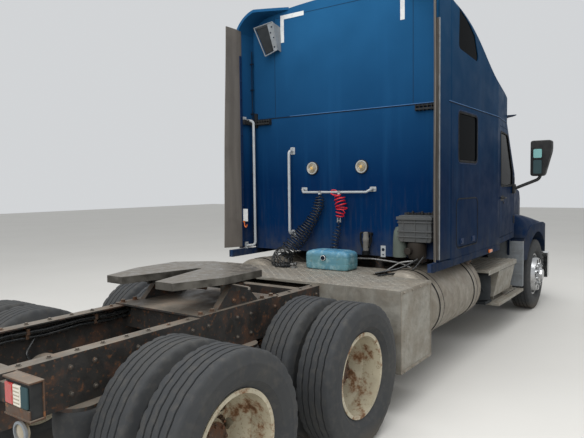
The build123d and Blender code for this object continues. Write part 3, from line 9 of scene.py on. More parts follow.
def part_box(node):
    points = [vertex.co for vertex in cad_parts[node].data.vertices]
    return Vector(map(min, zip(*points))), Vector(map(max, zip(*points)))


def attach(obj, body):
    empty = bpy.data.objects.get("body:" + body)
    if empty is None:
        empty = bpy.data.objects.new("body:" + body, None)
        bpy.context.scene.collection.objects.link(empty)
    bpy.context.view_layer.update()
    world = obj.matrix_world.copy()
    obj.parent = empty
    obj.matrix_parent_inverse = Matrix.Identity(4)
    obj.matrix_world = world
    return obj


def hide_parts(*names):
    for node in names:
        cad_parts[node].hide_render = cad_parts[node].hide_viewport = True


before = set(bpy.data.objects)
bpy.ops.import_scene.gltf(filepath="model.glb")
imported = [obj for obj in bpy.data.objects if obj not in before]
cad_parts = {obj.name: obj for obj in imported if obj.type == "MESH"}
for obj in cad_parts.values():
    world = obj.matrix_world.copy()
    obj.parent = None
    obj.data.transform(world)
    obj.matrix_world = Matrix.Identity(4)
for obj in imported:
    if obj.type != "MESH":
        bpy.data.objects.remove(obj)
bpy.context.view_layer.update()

# Driving places of the vehicle, in metres, in the frame of the solids
TANDEM_X = -2.860
WHEELBASE = 6.000
AXLE_SPACING = 1.320
AXLE_Z = 0.505
CAB_BACK = 2.343
CAB_HALF = 1.172
SEAM_Z = 2.590
RAIL_HALF = 0.432
RAIL_TOP = 0.980
RAIL_END = -1.480
SKIRT_HALF = 1.180
TWIN_PLANE = 0.905
DISC_OFFSET = 0.166
FRONT_TYRE = 1.029
TYRE_RADIUS = 0.505
TYRE_HALF_WIDTH = 0.1425
RIM_RADIUS = 0.299
TANK_HALF = 0.860
TANK_Z = 0.720
TANK_RADIUS = 0.320
COUPLING_X = 0.250
COUPLING_TOP = 1.220
DECK_TOP = 1.000
EXTENDER_INNER = 1.144

SIDES = (("left", 1), ("right", -1))
FORWARD = (1, 0, 0)
REARWARD = (-1, 0, 0)
UPWARD = (0, 0, 1)


def along(distance):
    """X of a place given from the middle of the drive tandem."""
    return TANDEM_X + distance


AXLES = {"mid": along(AXLE_SPACING / 2), "rear": along(-AXLE_SPACING / 2)}
FRONT_AXLE = along(WHEELBASE)
BACK_X = along(CAB_BACK)

# Camera, at the place that the photograph was taken from
CAMERA_PLACE = Vector((-5.6448, -3.0248, 1.8288))
CAMERA_YAW = radians(35.343)
CAMERA_PITCH = radians(-3.308)
CAMERA_ROLL = radians(-0.711)
CAMERA_LENS = 34.97
CAMERA_SENSOR = 36.0
CAMERA_REACH = 200


def make_camera():
    """Camera with the photograph's heading, pitch, roll and angle of view."""
    flat = cos(CAMERA_PITCH)
    ahead = Vector((cos(CAMERA_YAW) * flat, sin(CAMERA_YAW) * flat, sin(CAMERA_PITCH)))
    level = Vector((sin(CAMERA_YAW), -cos(CAMERA_YAW), 0))
    upright = level.cross(ahead)
    across = level * cos(CAMERA_ROLL) + upright * sin(CAMERA_ROLL)
    up = upright * cos(CAMERA_ROLL) - level * sin(CAMERA_ROLL)
    turn = Matrix((across, up, -ahead)).transposed().to_4x4()
    data = bpy.data.cameras.new("camera")
    data.lens = CAMERA_LENS
    data.sensor_width = CAMERA_SENSOR
    data.clip_end = CAMERA_REACH
    camera = bpy.data.objects.new("camera", data)
    camera.matrix_world = Matrix.Translation(CAMERA_PLACE) @ turn
    bpy.context.collection.objects.link(camera)
    bpy.context.scene.camera = camera


# Material nodes
class Finish:
    """One material, with short calls for the nodes that colour and roughen it."""

    def __init__(self, name, colour, roughness=0.5, metallic=0.0):
        self.material = bpy.data.materials.new(name)
        self.material.use_nodes = True
        self.tree = self.material.node_tree
        self.shader = self.tree.nodes["Principled BSDF"]
        self.set("Metallic", metallic)
        self.set("Roughness", roughness)
        self.place = self.tree.nodes.new("ShaderNodeTexCoord").outputs["Object"]
        self.colour = self.plain(colour)

    def plain(self, colour):
        """Linear colour with alpha from a hex string of the display colour."""
        values = [int(colour[i:i + 2], 16) / 255 for i in (1, 3, 5)]
        linear = [v / 12.92 if v <= 0.04045 else ((v + 0.055) / 1.055) ** 2.4 for v in values]
        return (*linear, 1.0)

    def put(self, socket, value):
        """Sets a socket to a value, or links another node's output to it."""
        if isinstance(value, bpy.types.NodeSocket):
            self.tree.links.new(value, socket)
        else:
            socket.default_value = value

    def set(self, name, value):
        """Sets or links one input of the surface itself."""
        self.put(self.shader.inputs[name], value)

    def node(self, kind, inputs):
        """New node with some of its inputs set or linked."""
        made = self.tree.nodes.new(kind)
        for name, value in inputs.items():
            self.put(made.inputs[name], value)
        return made

    def mapped(self, stretch=(1, 1, 1), seed=0):
        """The object's own coordinates, stretched, and shifted by a seed."""
        shift = (seed * 3.7, seed * 1.9, seed * 5.3)
        inputs = {"Vector": self.place, "Scale": stretch, "Location": shift}
        return self.node("ShaderNodeMapping", inputs).outputs["Vector"]

    def noise(self, scale, detail=4, stretch=(1, 1, 1), roughness=0.55, seed=0):
        """Noise over the object's own coordinates, from 0 to 1."""
        place = self.mapped(stretch, seed)
        inputs = {"Vector": place, "Scale": scale, "Detail": detail, "Roughness": roughness}
        return self.node("ShaderNodeTexNoise", inputs).outputs["Fac"]

    def cells(self, scale):
        """Distance to the nearest scattered point."""
        inputs = {"Vector": self.mapped(), "Scale": scale}
        return self.node("ShaderNodeTexVoronoi", inputs).outputs["Distance"]

    def axis(self, name):
        """One coordinate of the object's own frame."""
        return self.node("ShaderNodeSeparateXYZ", {"Vector": self.place}).outputs[name]

    def facing_up(self):
        """How far a surface faces upwards, from -1 to 1."""
        normal = self.node("ShaderNodeNewGeometry", {}).outputs["Normal"]
        return self.node("ShaderNodeSeparateXYZ", {"Vector": normal}).outputs["Z"]

    def between(self, value, low, high, start=0.0, end=1.0):
        """Maps a range of values to another one, held at its ends."""
        inputs = {"Value": value, "From Min": low, "From Max": high, "To Min": start, "To Max": end}
        return self.node("ShaderNodeMapRange", inputs).outputs["Result"]

    def combine(self, operation, first, second):
        """Arithmetic on two values."""
        made = self.node("ShaderNodeMath", {0: first, 1: second})
        made.operation = operation
        return made.outputs[0]

    def cover(self, amount, colour):
        """Lays another colour over the present one where amount is high."""
        mix = self.tree.nodes.new("ShaderNodeMix")
        mix.data_type = "RGBA"
        self.put(mix.inputs["Factor"], amount)
        self.put(mix.inputs[6], self.colour)
        self.put(mix.inputs[7], self.plain(colour))
        self.colour = mix.outputs[2]

    def cover_both(self, first, second, colour):
        """Lays a colour over the present one where both amounts are high."""
        self.cover(self.combine("MULTIPLY", first, second), colour)

    def stain(self, colour, share, low, high, scale, detail=4, **kind):
        """Lays a colour over the spots of a noise, up to a share, and returns the noise."""
        spots = self.noise(scale, detail, **kind)
        self.cover(self.between(spots, low, high, 0.0, share), colour)
        return spots

    def rough(self, value, low, high, start, end):
        """Roughness that follows a node's output."""
        self.set("Roughness", self.between(value, low, high, start, end))

    def bump(self, height, distance, strength=0.6):
        """Fine relief from a node's output, laid over any that is there."""
        inputs = {"Strength": strength, "Distance": distance, "Height": height}
        made = self.node("ShaderNodeBump", inputs)
        present = self.shader.inputs["Normal"]
        if present.links:
            self.put(made.inputs["Normal"], present.links[0].from_socket)
        self.put(present, made.outputs["Normal"])

    def done(self):
        """Links the colour and hands the material over."""
        self.set("Base Color", self.colour)
        return self.material


GLOSS = "Specular IOR Level"
PAINT_GLOSS = 0.012
PLASTIC_GLOSS = 0.2
GLASS_GLOSS = 0.005
# Painted light on the cab paint: heights over which it lightens as painted sky light, then where the painted
# shade on its sides starts, its edge width and its share
PAINTED_SKYLIGHT_RISE = (1.85, 3.5)
SIDE_SHADE_Y = 1.160
SIDE_SHADE_EDGE = 0.006
SIDE_SHADE = 0.54
DUST = "#575650"


def paint_finish(name, low, high):
    """Cab paint that lightens with height as painted sky light, dusty near the bottom, and darker on the
    sides as painted shade that also mutes the dust there.
    """
    finish = Finish(name, low, 0.3)
    height = finish.axis("Z")
    # Painted sky light: the paint goes from the dark low colour to the lighter high colour with height
    finish.cover(finish.between(height, *PAINTED_SKYLIGHT_RISE), high)
    finish.stain("#04203f", 0.3, 0.35, 0.75, 1.1, 3)
    finish.stain("#265a86", 0.22, 0.52, 0.8, 9, 3, stretch=(1, 1, 0.06), seed=1)
    grime = finish.noise(26, 5, (1, 1, 0.12), seed=2)
    finish.cover_both(finish.between(height, 2.0, 1.1), finish.between(grime, 0.5, 0.8, 0.0, 0.3), DUST)
    splash = finish.noise(7, 6, seed=4)
    finish.cover_both(finish.between(height, 1.40, 1.05), finish.between(splash, 0.35, 0.7, 0.05, 0.6), DUST)
    # Painted shade: the sides, and all that lies ahead of the back wall, are darkened towards near black
    across = finish.axis("Y")
    edge = (SIDE_SHADE_Y ** 2, (SIDE_SHADE_Y + SIDE_SHADE_EDGE) ** 2)
    outer_side = finish.between(finish.combine("MULTIPLY", across, across), *edge)
    ahead = finish.between(finish.axis("X"), BACK_X + 0.01, BACK_X + 0.03)
    finish.cover_both(finish.combine("MAXIMUM", outer_side, ahead), SIDE_SHADE, "#03101f")
    finish.cover(finish.between(finish.cells(34), 0.055, 0.03, 0.0, 0.4), "#6f8ba3")
    finish.rough(finish.noise(5, 5, seed=3), 0.3, 0.7, 0.3, 0.5)
    finish.bump(finish.noise(3.2, 2), 0.004, 0.25)
    finish.set(GLOSS, PAINT_GLOSS)
    return finish.done()


def dirty_metal(name, colour, dirt, roughness, metallic, dirt_share=0.6, scale=6, tone_share=0.35):
    """Metal or plain sheet with blotches of dirt, and dust on what faces up."""
    finish = Finish(name, colour, roughness, metallic)
    finish.stain("#5f5b53", tone_share, 0.4, 0.7, scale * 2.5, seed=1)
    blotch = finish.stain(dirt, dirt_share, 0.4, 0.66, scale, 6, seed=2)
    dust = finish.between(finish.facing_up(), 0.3, 0.95, 0.0, 0.5)
    finish.cover_both(dust, finish.between(blotch, 0.25, 0.6, 0.3, 1.0), "#9a9184")
    finish.rough(finish.noise(18, 4, seed=3), 0.3, 0.7, roughness - 0.1, roughness + 0.25)
    finish.bump(finish.noise(55, 4), 0.0015, 0.4)
    return finish.done()


def painted_steel(name, colour, rust_share=0.5):
    """Chassis paint with rust patches, flakes and pale road dust on what faces up."""
    finish = Finish(name, colour, 0.6)
    finish.stain("#3b3833", 0.4, 0.4, 0.7, 14)
    patch = finish.stain("#5b3a24", rust_share, 0.52, 0.62, 5.5, 8, roughness=0.65, seed=5)
    finish.stain("#7c4f2c", rust_share, 0.58, 0.68, 40, seed=6)
    dust = finish.between(finish.facing_up(), 0.35, 0.95, 0.0, 0.6)
    finish.cover_both(dust, finish.between(finish.noise(3, 6), 0.3, 0.6, 0.4, 1.0), "#8a8072")
    finish.rough(patch, 0.4, 0.65, 0.45, 0.9)
    finish.bump(finish.noise(70, 5), 0.0015, 0.5)
    return finish.done()


def rim_finish():
    """Off-white rim paint, chalky and broken by rust."""
    finish = Finish("rim_paint", "#b9b19a", 0.6)
    finish.stain("#8f8671", 0.6, 0.4, 0.65, 4, 5, seed=8)
    runs = finish.stain("#7a5230", 0.95, 0.5, 0.6, 9, 8, roughness=0.7, seed=9)
    finish.cover(finish.between(runs, 0.58, 0.68, 0.0, 0.9), "#46301f")
    finish.stain("#5c4127", 0.5, 0.6, 0.68, 60, 3, seed=2)
    finish.rough(runs, 0.4, 0.65, 0.42, 0.9)
    finish.bump(runs, 0.003, 0.5)
    return finish.done()


def tyre_finish():
    """Dry black rubber with brown dust in the pattern and lighter scuffs."""
    finish = Finish("tyre", "#2f3133", 0.85)
    finish.stain("#44433f", 0.35, 0.4, 0.7, 3, 6, seed=3)
    finish.stain("#5d574e", 0.25, 0.5, 0.75, 22, 6, seed=4)
    finish.cover(finish.between(finish.axis("Z"), 0.16, 0.0, 0.0, 0.5), "#6b6050")
    finish.bump(finish.noise(120, 3), 0.0008, 0.6)
    finish.bump(finish.noise(18, 4, seed=1), 0.002, 0.3)
    return finish.done()


def rubber_finish():
    """Faded grey-brown flap rubber with pale vertical marks."""
    finish = Finish("flap_rubber", "#57524c", 0.8)
    finish.stain("#6c6660", 0.7, 0.4, 0.7, 10, 5, stretch=(1, 1, 0.08), seed=1)
    finish.stain("#4c4641", 0.6, 0.5, 0.7, 4, 6, seed=2)
    finish.cover(finish.between(finish.cells(30), 0.06, 0.03, 0.0, 0.5), "#9b958a")
    finish.bump(finish.noise(30, 4, (1, 1, 0.3)), 0.002, 0.4)
    return finish.done()


def plastic_finish(name, colour, roughness=0.5, worn="#4b4b49"):
    """Moulded plastic with a fine grain and greyed patches."""
    finish = Finish(name, colour, roughness)
    finish.stain(worn, 0.45, 0.45, 0.75, 6, 5, seed=7)
    finish.rough(finish.noise(15, 4), 0.3, 0.7, roughness - 0.08, roughness + 0.2)
    finish.bump(finish.noise(220, 2), 0.0004, 0.5)
    finish.set(GLOSS, PLASTIC_GLOSS)
    return finish.done()


def glass_finish(name, colour, film, roughness=0.05):
    """Dark window glass, or mirror glass whose colour is a painted reflection, shown as a tinted sheet under
    a film.
    """
    finish = Finish(name, colour, roughness)
    finish.stain(film, 0.25, 0.45, 0.75, 3)
    finish.rough(finish.noise(12, 4, seed=2), 0.3, 0.8, roughness, roughness + 0.16)
    finish.set(GLOSS, GLASS_GLOSS)
    return finish.done()


def bright_metal(name, colour, roughness, dirt_share=0.3):
    """Chrome or polished alloy with a light film of road dirt."""
    finish = Finish(name, colour, roughness, 1.0)
    film = finish.stain("#6d655a", dirt_share, 0.48, 0.75, 9, 5, seed=3)
    finish.rough(film, 0.35, 0.75, roughness, roughness + 0.3)
    finish.bump(finish.noise(90, 3), 0.0004, 0.3)
    return finish.done()


def hose_finish(name, colour, dull, roughness):
    """Coiled hose of nylon, with dulled stretches."""
    finish = Finish(name, colour, roughness)
    finish.stain(dull, 0.55, 0.5, 0.72, 25, seed=2)
    finish.rough(finish.noise(40, 3), 0.3, 0.7, roughness - 0.08, roughness + 0.2)
    finish.bump(finish.noise(160, 2), 0.0003, 0.4)
    return finish.done()


def lens_finish(name, colour, roughness=0.12):
    """Moulded lamp lens with fine prisms."""
    finish = Finish(name, colour, roughness)
    finish.stain("#857b6c", 0.35, 0.5, 0.75, 30, seed=1)
    finish.bump(finish.cells(120), 0.001, 0.4)
    finish.set("Coat Weight", 0.6)
    return finish.done()


def canister_finish():
    """Weathered canister plastic, teal low down and bluer above, with pale scuffs."""
    finish = Finish("canister_plastic", "#557f86", 0.4)
    finish.cover(finish.between(finish.axis("Z"), 1.12, 1.24, 0.0, 0.85), "#3a82b4")
    finish.stain("#437b98", 0.4, 0.4, 0.7, 5, seed=1)
    finish.stain("#9cb9bb", 0.6, 0.5, 0.72, 16, 6, seed=2)
    finish.stain("#5d6c63", 0.5, 0.56, 0.7, 30, 5, seed=3)
    finish.rough(finish.noise(9, 4), 0.3, 0.7, 0.3, 0.6)
    finish.bump(finish.noise(20, 4), 0.002, 0.4)
    return finish.done()


def tape_finish():
    """White reflective tape with scuffs and greyed patches."""
    finish = Finish("white_tape", "#d7d9d8", 0.4)
    finish.stain("#a9adae", 0.5, 0.48, 0.75, 16, 5, seed=1)
    finish.bump(finish.cells(260), 0.0004, 0.4)
    return finish.done()


def fabric_finish():
    """Grey seat cloth with a fine weave."""
    finish = Finish("seat_cloth", "#55585c", 0.9)
    finish.stain("#44464a", 0.4, 0.4, 0.7, 8)
    finish.bump(finish.cells(400), 0.0008, 0.6)
    finish.set("Sheen Weight", 0.3)
    return finish.done()


FINISHES = {
    # Low and high colours of the cab paint; the lighter high colour is painted sky light at the top
    "cab_paint": paint_finish("cab_paint", "#07284f", "#245983"),
    "black_steel": painted_steel("black_steel", "#262524"),
    "rusty_steel": painted_steel("rusty_steel", "#4a3526", 0.9),
    "cast": painted_steel("cast_iron", "#403c37", 0.6),
    "tank_alloy": dirty_metal("tank_alloy", "#8d877c", "#6f6558", 0.5, 0.45),
    "tread_plate": dirty_metal("tread_plate", "#98958c", "#786f61", 0.5, 0.45),
    "bare_steel": dirty_metal("bare_steel", "#9b9d9e", "#6c655b", 0.4, 0.8, 0.35, 14),
    "greasy_steel": dirty_metal("greasy_steel", "#6d6a64", "#2c2824", 0.35, 0.8, 0.8, 8),
    "white_paint": dirty_metal("white_paint", "#a9aeb1", "#7f7d78", 0.35, 0.0, 0.2, 14, 0.1),
    "lamp_ring": dirty_metal("lamp_ring", "#a9aaa6", "#5e5b55", 0.45, 0.0, 0.3, 14, 0.2),
    "sheet_grey": dirty_metal("sheet_grey", "#7a8085", "#5d5c58", 0.5, 0.1, 0.35, 10, 0.25),
    "shadow_grey": plastic_finish("shadow_grey", "#26292b", 0.8, "#34373a"),
    "housing_grey": plastic_finish("housing_grey", "#4f5152", 0.65, "#5d5a54"),
    "brown_plastic": plastic_finish("brown_plastic", "#2b2723", 0.6, "#3d352d"),
    "work_lens": lens_finish("work_lens", "#8f8570", 0.3),
    "rim_paint": rim_finish(),
    "tyre": tyre_finish(),
    "rubber": rubber_finish(),
    "black_plastic": plastic_finish("black_plastic", "#232425"),
    "grey_plastic": plastic_finish("grey_plastic", "#6e6c68", 0.6, "#55524d"),
    "dark_paint": plastic_finish("dark_paint", "#0d2444", 0.5, "#162d4c"),
    "seal_black": plastic_finish("seal_black", "#0d0f11", 0.6, "#17191b"),
    # Pale blue for the strips over the cab-roof joint: a painted highlight on the joint's edge
    "edge_paint": plastic_finish("edge_paint", "#4a74a3", 0.45, "#5a80a8"),
    "bowl_green": plastic_finish("bowl_green", "#5d655e", 0.5, "#3f3f38"),
    "seam_black": plastic_finish("seam_black", "#0b1626", 0.6, "#101d30"),
    "glass": glass_finish("glass", "#06080a", "#0b1012"),
    # Mirror glasses: their colours are painted reflections, pale in the upper glass and dark in the lower
    # one; the outer tail lamp lens takes the dark one too
    "mirror": glass_finish("mirror_glass_painted_reflection", "#7fb0ae", "#93bdb9"),
    "dark_mirror": glass_finish("dark_mirror_glass", "#3a4c50", "#50605f"),
    "chrome": bright_metal("chrome", "#c9cbcc", 0.1),
    "polished_alloy": bright_metal("polished_alloy", "#babbbc", 0.2, 0.45),
    "lamp_lens": lens_finish("lamp_lens", "#cfc9ba"),
    "red_lens": lens_finish("red_lens", "#a3201b"),
    "amber_glow": lens_finish("amber_glow", "#c9a45e"),
    "amber_lens": lens_finish("amber_lens", "#c9641c"),
    "red_hose": hose_finish("red_hose", "#c8202c", "#8a1a20", 0.3),
    "black_hose": hose_finish("black_hose", "#191b1c", "#3b3a38", 0.2),
    "canister": canister_finish(),
    "white_tape": tape_finish(),
    "cloth": fabric_finish(),
}

# Solids of each finish
NODE_FINISHES = {
    "cab_paint": "cab_shell door_left door_right hood luggage_door_left luggage_door_right roof_shell "
                 "side_fairings",
    "dark_paint": "sun_visor",
    "glass": "cab_glass door_glass_left door_glass_right",
    "black_plastic": "dashboard mirror_left mirror_right rear_lamps steering_wheel",
    "grey_plastic": "rear_fittings",
    "black_steel": "air_tanks drive_shafts fifth_wheel_base frame_brackets frame_rails front_axle springs "
                   "tie_rod",
    "rusty_steel": "exhaust_pipe",
    "cast": "drive_axles engine_block knuckle_left knuckle_right",
    "greasy_steel": "fifth_wheel_plate",
    "bare_steel": "hose_ends",
    "white_paint": "rear_handles",
    "tank_alloy": "fuel_tanks tank_straps",
    "tread_plate": "rear_deck step_boxes",
    "chrome": "front_bumper grille",
    "polished_alloy": "rim_front_left rim_front_right",
    "rim_paint": "rims_mid_left rims_mid_right rims_rear_left rims_rear_right",
    "lamp_lens": "headlamps",
    "rubber": "extender_flaps",
    "cloth": "seats_and_bunk",
    "canister": "water_canister",
}

# Slots of the finishes that have no slot of their own name
SLOT_FINISHES = {
    "bare_steel": "rusty_steel cast greasy_steel white_paint lamp_ring sheet_grey",
    "black_plastic": "grey_plastic housing_grey brown_plastic bowl_green shadow_grey seal_black seam_black",
    "cab_paint": "dark_paint edge_paint",
    "lamp_lens": "white_tape work_lens red_lens amber_lens amber_glow",
    "glass": "mirror dark_mirror",
}
SLOTS = {finish: slot for slot, names in SLOT_FINISHES.items() for finish in names.split()}


def dress_solids():
    """Gives every solid of the frame its finish."""
    for finish, names in NODE_FINISHES.items():
        for name in names.split():
            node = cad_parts[name]
            if not node.data.materials:
                node.data.materials.append(FINISHES[finish])
            for place in node.material_slots:
                place.material = FINISHES[finish]


# Mesh building
class Shape:
    """Vertices and faces of one piece, put together from simple swept forms."""

    def __init__(self):
        self.points = []
        self.faces = []

    def add(self, points, faces):
        """Takes in the points and faces of one form."""
        start = len(self.points)
        self.points += [tuple(point) for point in points]
        self.faces += [tuple(start + index for index in face) for face in faces]
        return self

    def box(self, low, high):
        """Rectangular block between two corners, in any order."""
        a = [min(pair) for pair in zip(low, high)]
        b = [max(pair) for pair in zip(low, high)]
        points = [(x, y, z) for x in (a[0], b[0]) for y in (a[1], b[1]) for z in (a[2], b[2])]
        faces = [(0, 1, 3, 2), (4, 6, 7, 5), (0, 4, 5, 1), (2, 3, 7, 6), (0, 2, 6, 4), (1, 5, 7, 3)]
        return self.add(points, faces)

    def block(self, x, y, z, sign=1):
        """Block between two distances from the tandem, two widths out to a side and two heights."""
        return self.box((along(x[0]), sign * y[0], z[0]), (along(x[1]), sign * y[1], z[1]))

    def on_wall(self, y, z, reach, start=0.0):
        """Block on the back wall between two values of Y and of Z, out to a reach."""
        return self.box((BACK_X - start, y[0], z[0]), (BACK_X - reach, y[1], z[1]))

    def prism(self, outline, lift):
        """Flat outline of 3-D points, carried along a vector."""
        count = len(outline)
        base = [Vector(point) for point in outline]
        top = [point + Vector(lift) for point in base]
        sides = [(i, (i + 1) % count, (i + 1) % count + count, i + count) for i in range(count)]
        return self.add(base + top, sides + [tuple(reversed(range(count))), tuple(range(count, 2 * count))])

    def revolve(self, profile, centre, axis, segments, closed, shift=None):
        """Turns (radius, offset) points about an axis, as a closed ring or with flat caps."""
        axis = Vector(axis).normalized()
        side = axis.orthogonal().normalized()
        other = axis.cross(side)
        centre = Vector(centre)
        count = len(profile)
        points = []
        faces = []
        for step in range(segments):
            angle = 2 * pi * step / segments
            direction = side * cos(angle) + other * sin(angle)
            for index, (radius, offset) in enumerate(profile):
                if shift:
                    radius, offset = shift(step, index, radius, offset)
                points.append(centre + direction * radius + axis * offset)
            here = step * count
            there = (step + 1) % segments * count
            for index in range(count if closed else count - 1):
                after = (index + 1) % count
                faces.append((here + index, here + after, there + after, there + index))
        if not closed:
            faces.append(tuple(step * count for step in reversed(range(segments))))
            faces.append(tuple(step * count + count - 1 for step in range(segments)))
        return self.add(points, faces)

    def lathe(self, profile, centre, axis, segments=32, shift=None):
        """Closed profile turned to a ring."""
        return self.revolve(profile, centre, axis, segments, True, shift)

    def disc(self, profile, centre, axis, segments=32):
        """Open profile turned to a solid with a flat cap at each end."""
        return self.revolve(profile, centre, axis, segments, False)

    def rod(self, start, end, radius, sides=16):
        """Round bar between two points."""
        run = Vector(end) - Vector(start)
        return self.disc([(radius, 0), (radius, run.length)], start, run, sides)

    def sleeve(self, points, sides):
        """Skin over successive rings of points, with a cap at each end."""
        last = len(points) - sides
        faces = []
        for a in range(last):
            b = a - a % sides + (a + 1) % sides
            faces.append((a, b, b + sides, a + sides))
        faces.append(tuple(reversed(range(sides))))
        faces.append(tuple(last + step for step in range(sides)))
        return self.add(points, faces)

    def tube(self, route, radius, sides=12):
        """Round tube that follows a list of points."""
        route = [Vector(point) for point in route]
        normal = (route[1] - route[0]).orthogonal().normalized()
        points = []
        for index, point in enumerate(route):
            before = route[max(index - 1, 0)]
            after = route[min(index + 1, len(route) - 1)]
            tangent = (after - before).normalized()
            normal = (normal - tangent * normal.dot(tangent)).normalized()
            other = tangent.cross(normal)
            width = radius(index / (len(route) - 1)) if callable(radius) else radius
            for step in range(sides):
                angle = 2 * pi * step / sides
                points.append(point + (normal * cos(angle) + other * sin(angle)) * width)
        return self.sleeve(points, sides)

    def pipe(self, corners, bend, radius, sides=12):
        """Round tube of straight runs with rounded corners, for rigid rods and pipes."""
        corners = [Vector(point) for point in corners]
        route = [corners[0]]
        for before, corner, after in zip(corners, corners[1:], corners[2:]):
            route += corner_arc(before, corner, after, bend, 6)
        return self.tube(route + [corners[-1]], radius, sides)

    def slab(self, points, rows, columns):
        """Closed skin over two layers of a grid of points, given row by row."""
        layer = rows * columns
        faces = []
        for row in range(rows - 1):
            for column in range(columns - 1):
                a = row * columns + column
                b = a + columns
                faces.append((a, a + 1, b + 1, b))
                faces.append((a + layer, b + layer, b + 1 + layer, a + 1 + layer))
        rim = list(range(columns))
        rim += [row * columns + columns - 1 for row in range(1, rows)]
        rim += [layer - 1 - column for column in range(1, columns)]
        rim += [row * columns for row in range(rows - 2, 0, -1)]
        for index, a in enumerate(rim):
            b = rim[(index + 1) % len(rim)]
            faces.append((a, a + layer, b + layer, b))
        return self.add(points, faces)

    def bolt(self, place, axis, across, height):
        """Hexagon head with a washer under it."""
        axis = Vector(axis).normalized()
        self.disc([(across * 0.85, 0), (across * 0.85, 0.003)], place, axis, 16)
        top = Vector(place) + axis * 0.002
        head = [(across * 0.577, 0), (across * 0.577, height), (across * 0.4, height + 0.002)]
        return self.disc(head, top, axis, 6)


def piece(name, shape, finish, body="chassis", bevel=0.0, smooth=40, slot=None, replaces=()):
    """Object made from a shape, with its finish, that rides on a body."""
    mesh = bpy.data.meshes.new(name)
    mesh.from_pydata(shape.points, [], shape.faces)
    mesh.validate()
    made = bmesh.new()
    made.from_mesh(mesh)
    bmesh.ops.recalc_face_normals(made, faces=made.faces)
    made.to_mesh(mesh)
    made.free()
    mesh.materials.append(FINISHES[finish])
    mesh.shade_smooth()
    mesh.set_sharp_from_angle(angle=radians(smooth))
    thing = bpy.data.objects.new(name, mesh)
    bpy.context.collection.objects.link(thing)
    if bevel:
        modifier = thing.modifiers.new("edges", "BEVEL")
        modifier.width = bevel
        modifier.segments = 2
        modifier.limit_method = "ANGLE"
        modifier.angle_limit = radians(40)
    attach(thing, body)
    slot = slot or SLOTS.get(finish, finish)
    if replaces:
        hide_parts(*replaces)
    return thing


def corner_arc(before, corner, after, radius, steps):
    """Points that round the corner between two straight runs."""
    start = corner + (before - corner).normalized() * radius
    end = corner + (after - corner).normalized() * radius
    shares = [step / steps for step in range(steps + 1)]
    return [start * (1 - t) ** 2 + corner * 2 * t * (1 - t) + end * t ** 2 for t in shares]


def rounded(points, radius, steps=4):
    """Outline of 3-D points in one plane, with its corners rounded."""
    corners = [Vector(point) for point in points]
    result = []
    for index, corner in enumerate(corners):
        after = corners[(index + 1) % len(corners)]
        result += corner_arc(corners[index - 1], corner, after, radius, steps)
    return result


def band(inner, outer, low, high):
    """Profile of a plain ring between two radii and two offsets."""
    return [(inner, low), (outer, low), (outer, high), (inner, high)]


def spots_round(centre, radius, count, start=0.0):
    """Evenly spaced places on an upright circle that faces a side of the vehicle."""
    x, y, z = centre
    angles = [2 * pi * (index + start) / count for index in range(count)]
    return [(x + radius * cos(angle), y, z + radius * sin(angle)) for angle in angles]


# Cords: the routes are those of the solids, as (distance behind the wall, Y, Z)
RED_COIL = [
    (0.080, -0.045, 1.740),
    (0.080, -0.045, 1.690),
    (0.088, -0.080, 1.600),
    (0.084, -0.052, 1.540),
    (0.084, -0.042, 1.500),
]
POWER_COIL = [
    (0.084, -0.042, 1.450),
    (0.084, -0.042, 1.400),
    (0.094, 0.000, 1.290),
    (0.096, 0.010, 1.190),
    (0.094, 0.002, 1.080),
    (0.094, 0.002, 1.035),
]
BLACK_COIL = [
    (0.080, 0.190, 1.740),
    (0.080, 0.190, 1.690),
    (0.088, 0.215, 1.590),
    (0.094, 0.258, 1.500),
    (0.104, 0.322, 1.410),
    (0.118, 0.395, 1.320),
    (0.140, 0.466, 1.230),
    (0.180, 0.520, 1.150),
    (0.240, 0.545, 1.088),
    (0.320, 0.530, 1.052),
    (0.400, 0.480, 1.051),
    (0.450, 0.420, 1.051),
    (0.460, 0.340, 1.051),
    (0.460, 0.300, 1.051),
]


def spline_object(name, points, thickness=0.0):
    """Curve of one open NURBS spline through the guide of its control points."""
    data = bpy.data.curves.new(name, "CURVE")
    data.dimensions = "3D"
    data.resolution_u = 5
    spline = data.splines.new("NURBS")
    spline.points.add(len(points) - 1)
    for control, point in zip(spline.points, points):
        control.co = (*point, 1)
    spline.order_u = 3
    spline.use_endpoint_u = True
    data.bevel_depth = thickness
    data.bevel_resolution = 3
    data.use_fill_caps = True
    thing = bpy.data.objects.new(name, data)
    bpy.context.collection.objects.link(thing)
    return thing


def route_points(route):
    """Points along the smooth line of a route behind the back wall."""
    guide = spline_object("guide", [(BACK_X - reach, y, z) for reach, y, z in route])
    bpy.context.view_layer.update()
    mesh = bpy.data.meshes.new_from_object(guide)
    points = [vertex.co.copy() for vertex in mesh.vertices]
    bpy.data.objects.remove(guide)
    bpy.data.meshes.remove(mesh)
    return points


def at_length(points, share):
    """Point and direction at a share of a line's length."""
    lengths = [0.0]
    for before, after in zip(points, points[1:]):
        lengths.append(lengths[-1] + (after - before).length)
    target = share * lengths[-1]
    for index in range(1, len(points)):
        if lengths[index] >= target or index == len(points) - 1:
            run = lengths[index] - lengths[index - 1]
            t = (target - lengths[index - 1]) / run if run else 0
            step = points[index] - points[index - 1]
            return points[index - 1] + step * t, step.normalized()


STEPS_PER_TURN = 14
HOSE_REST = 0.007
END_EASE = 1.4


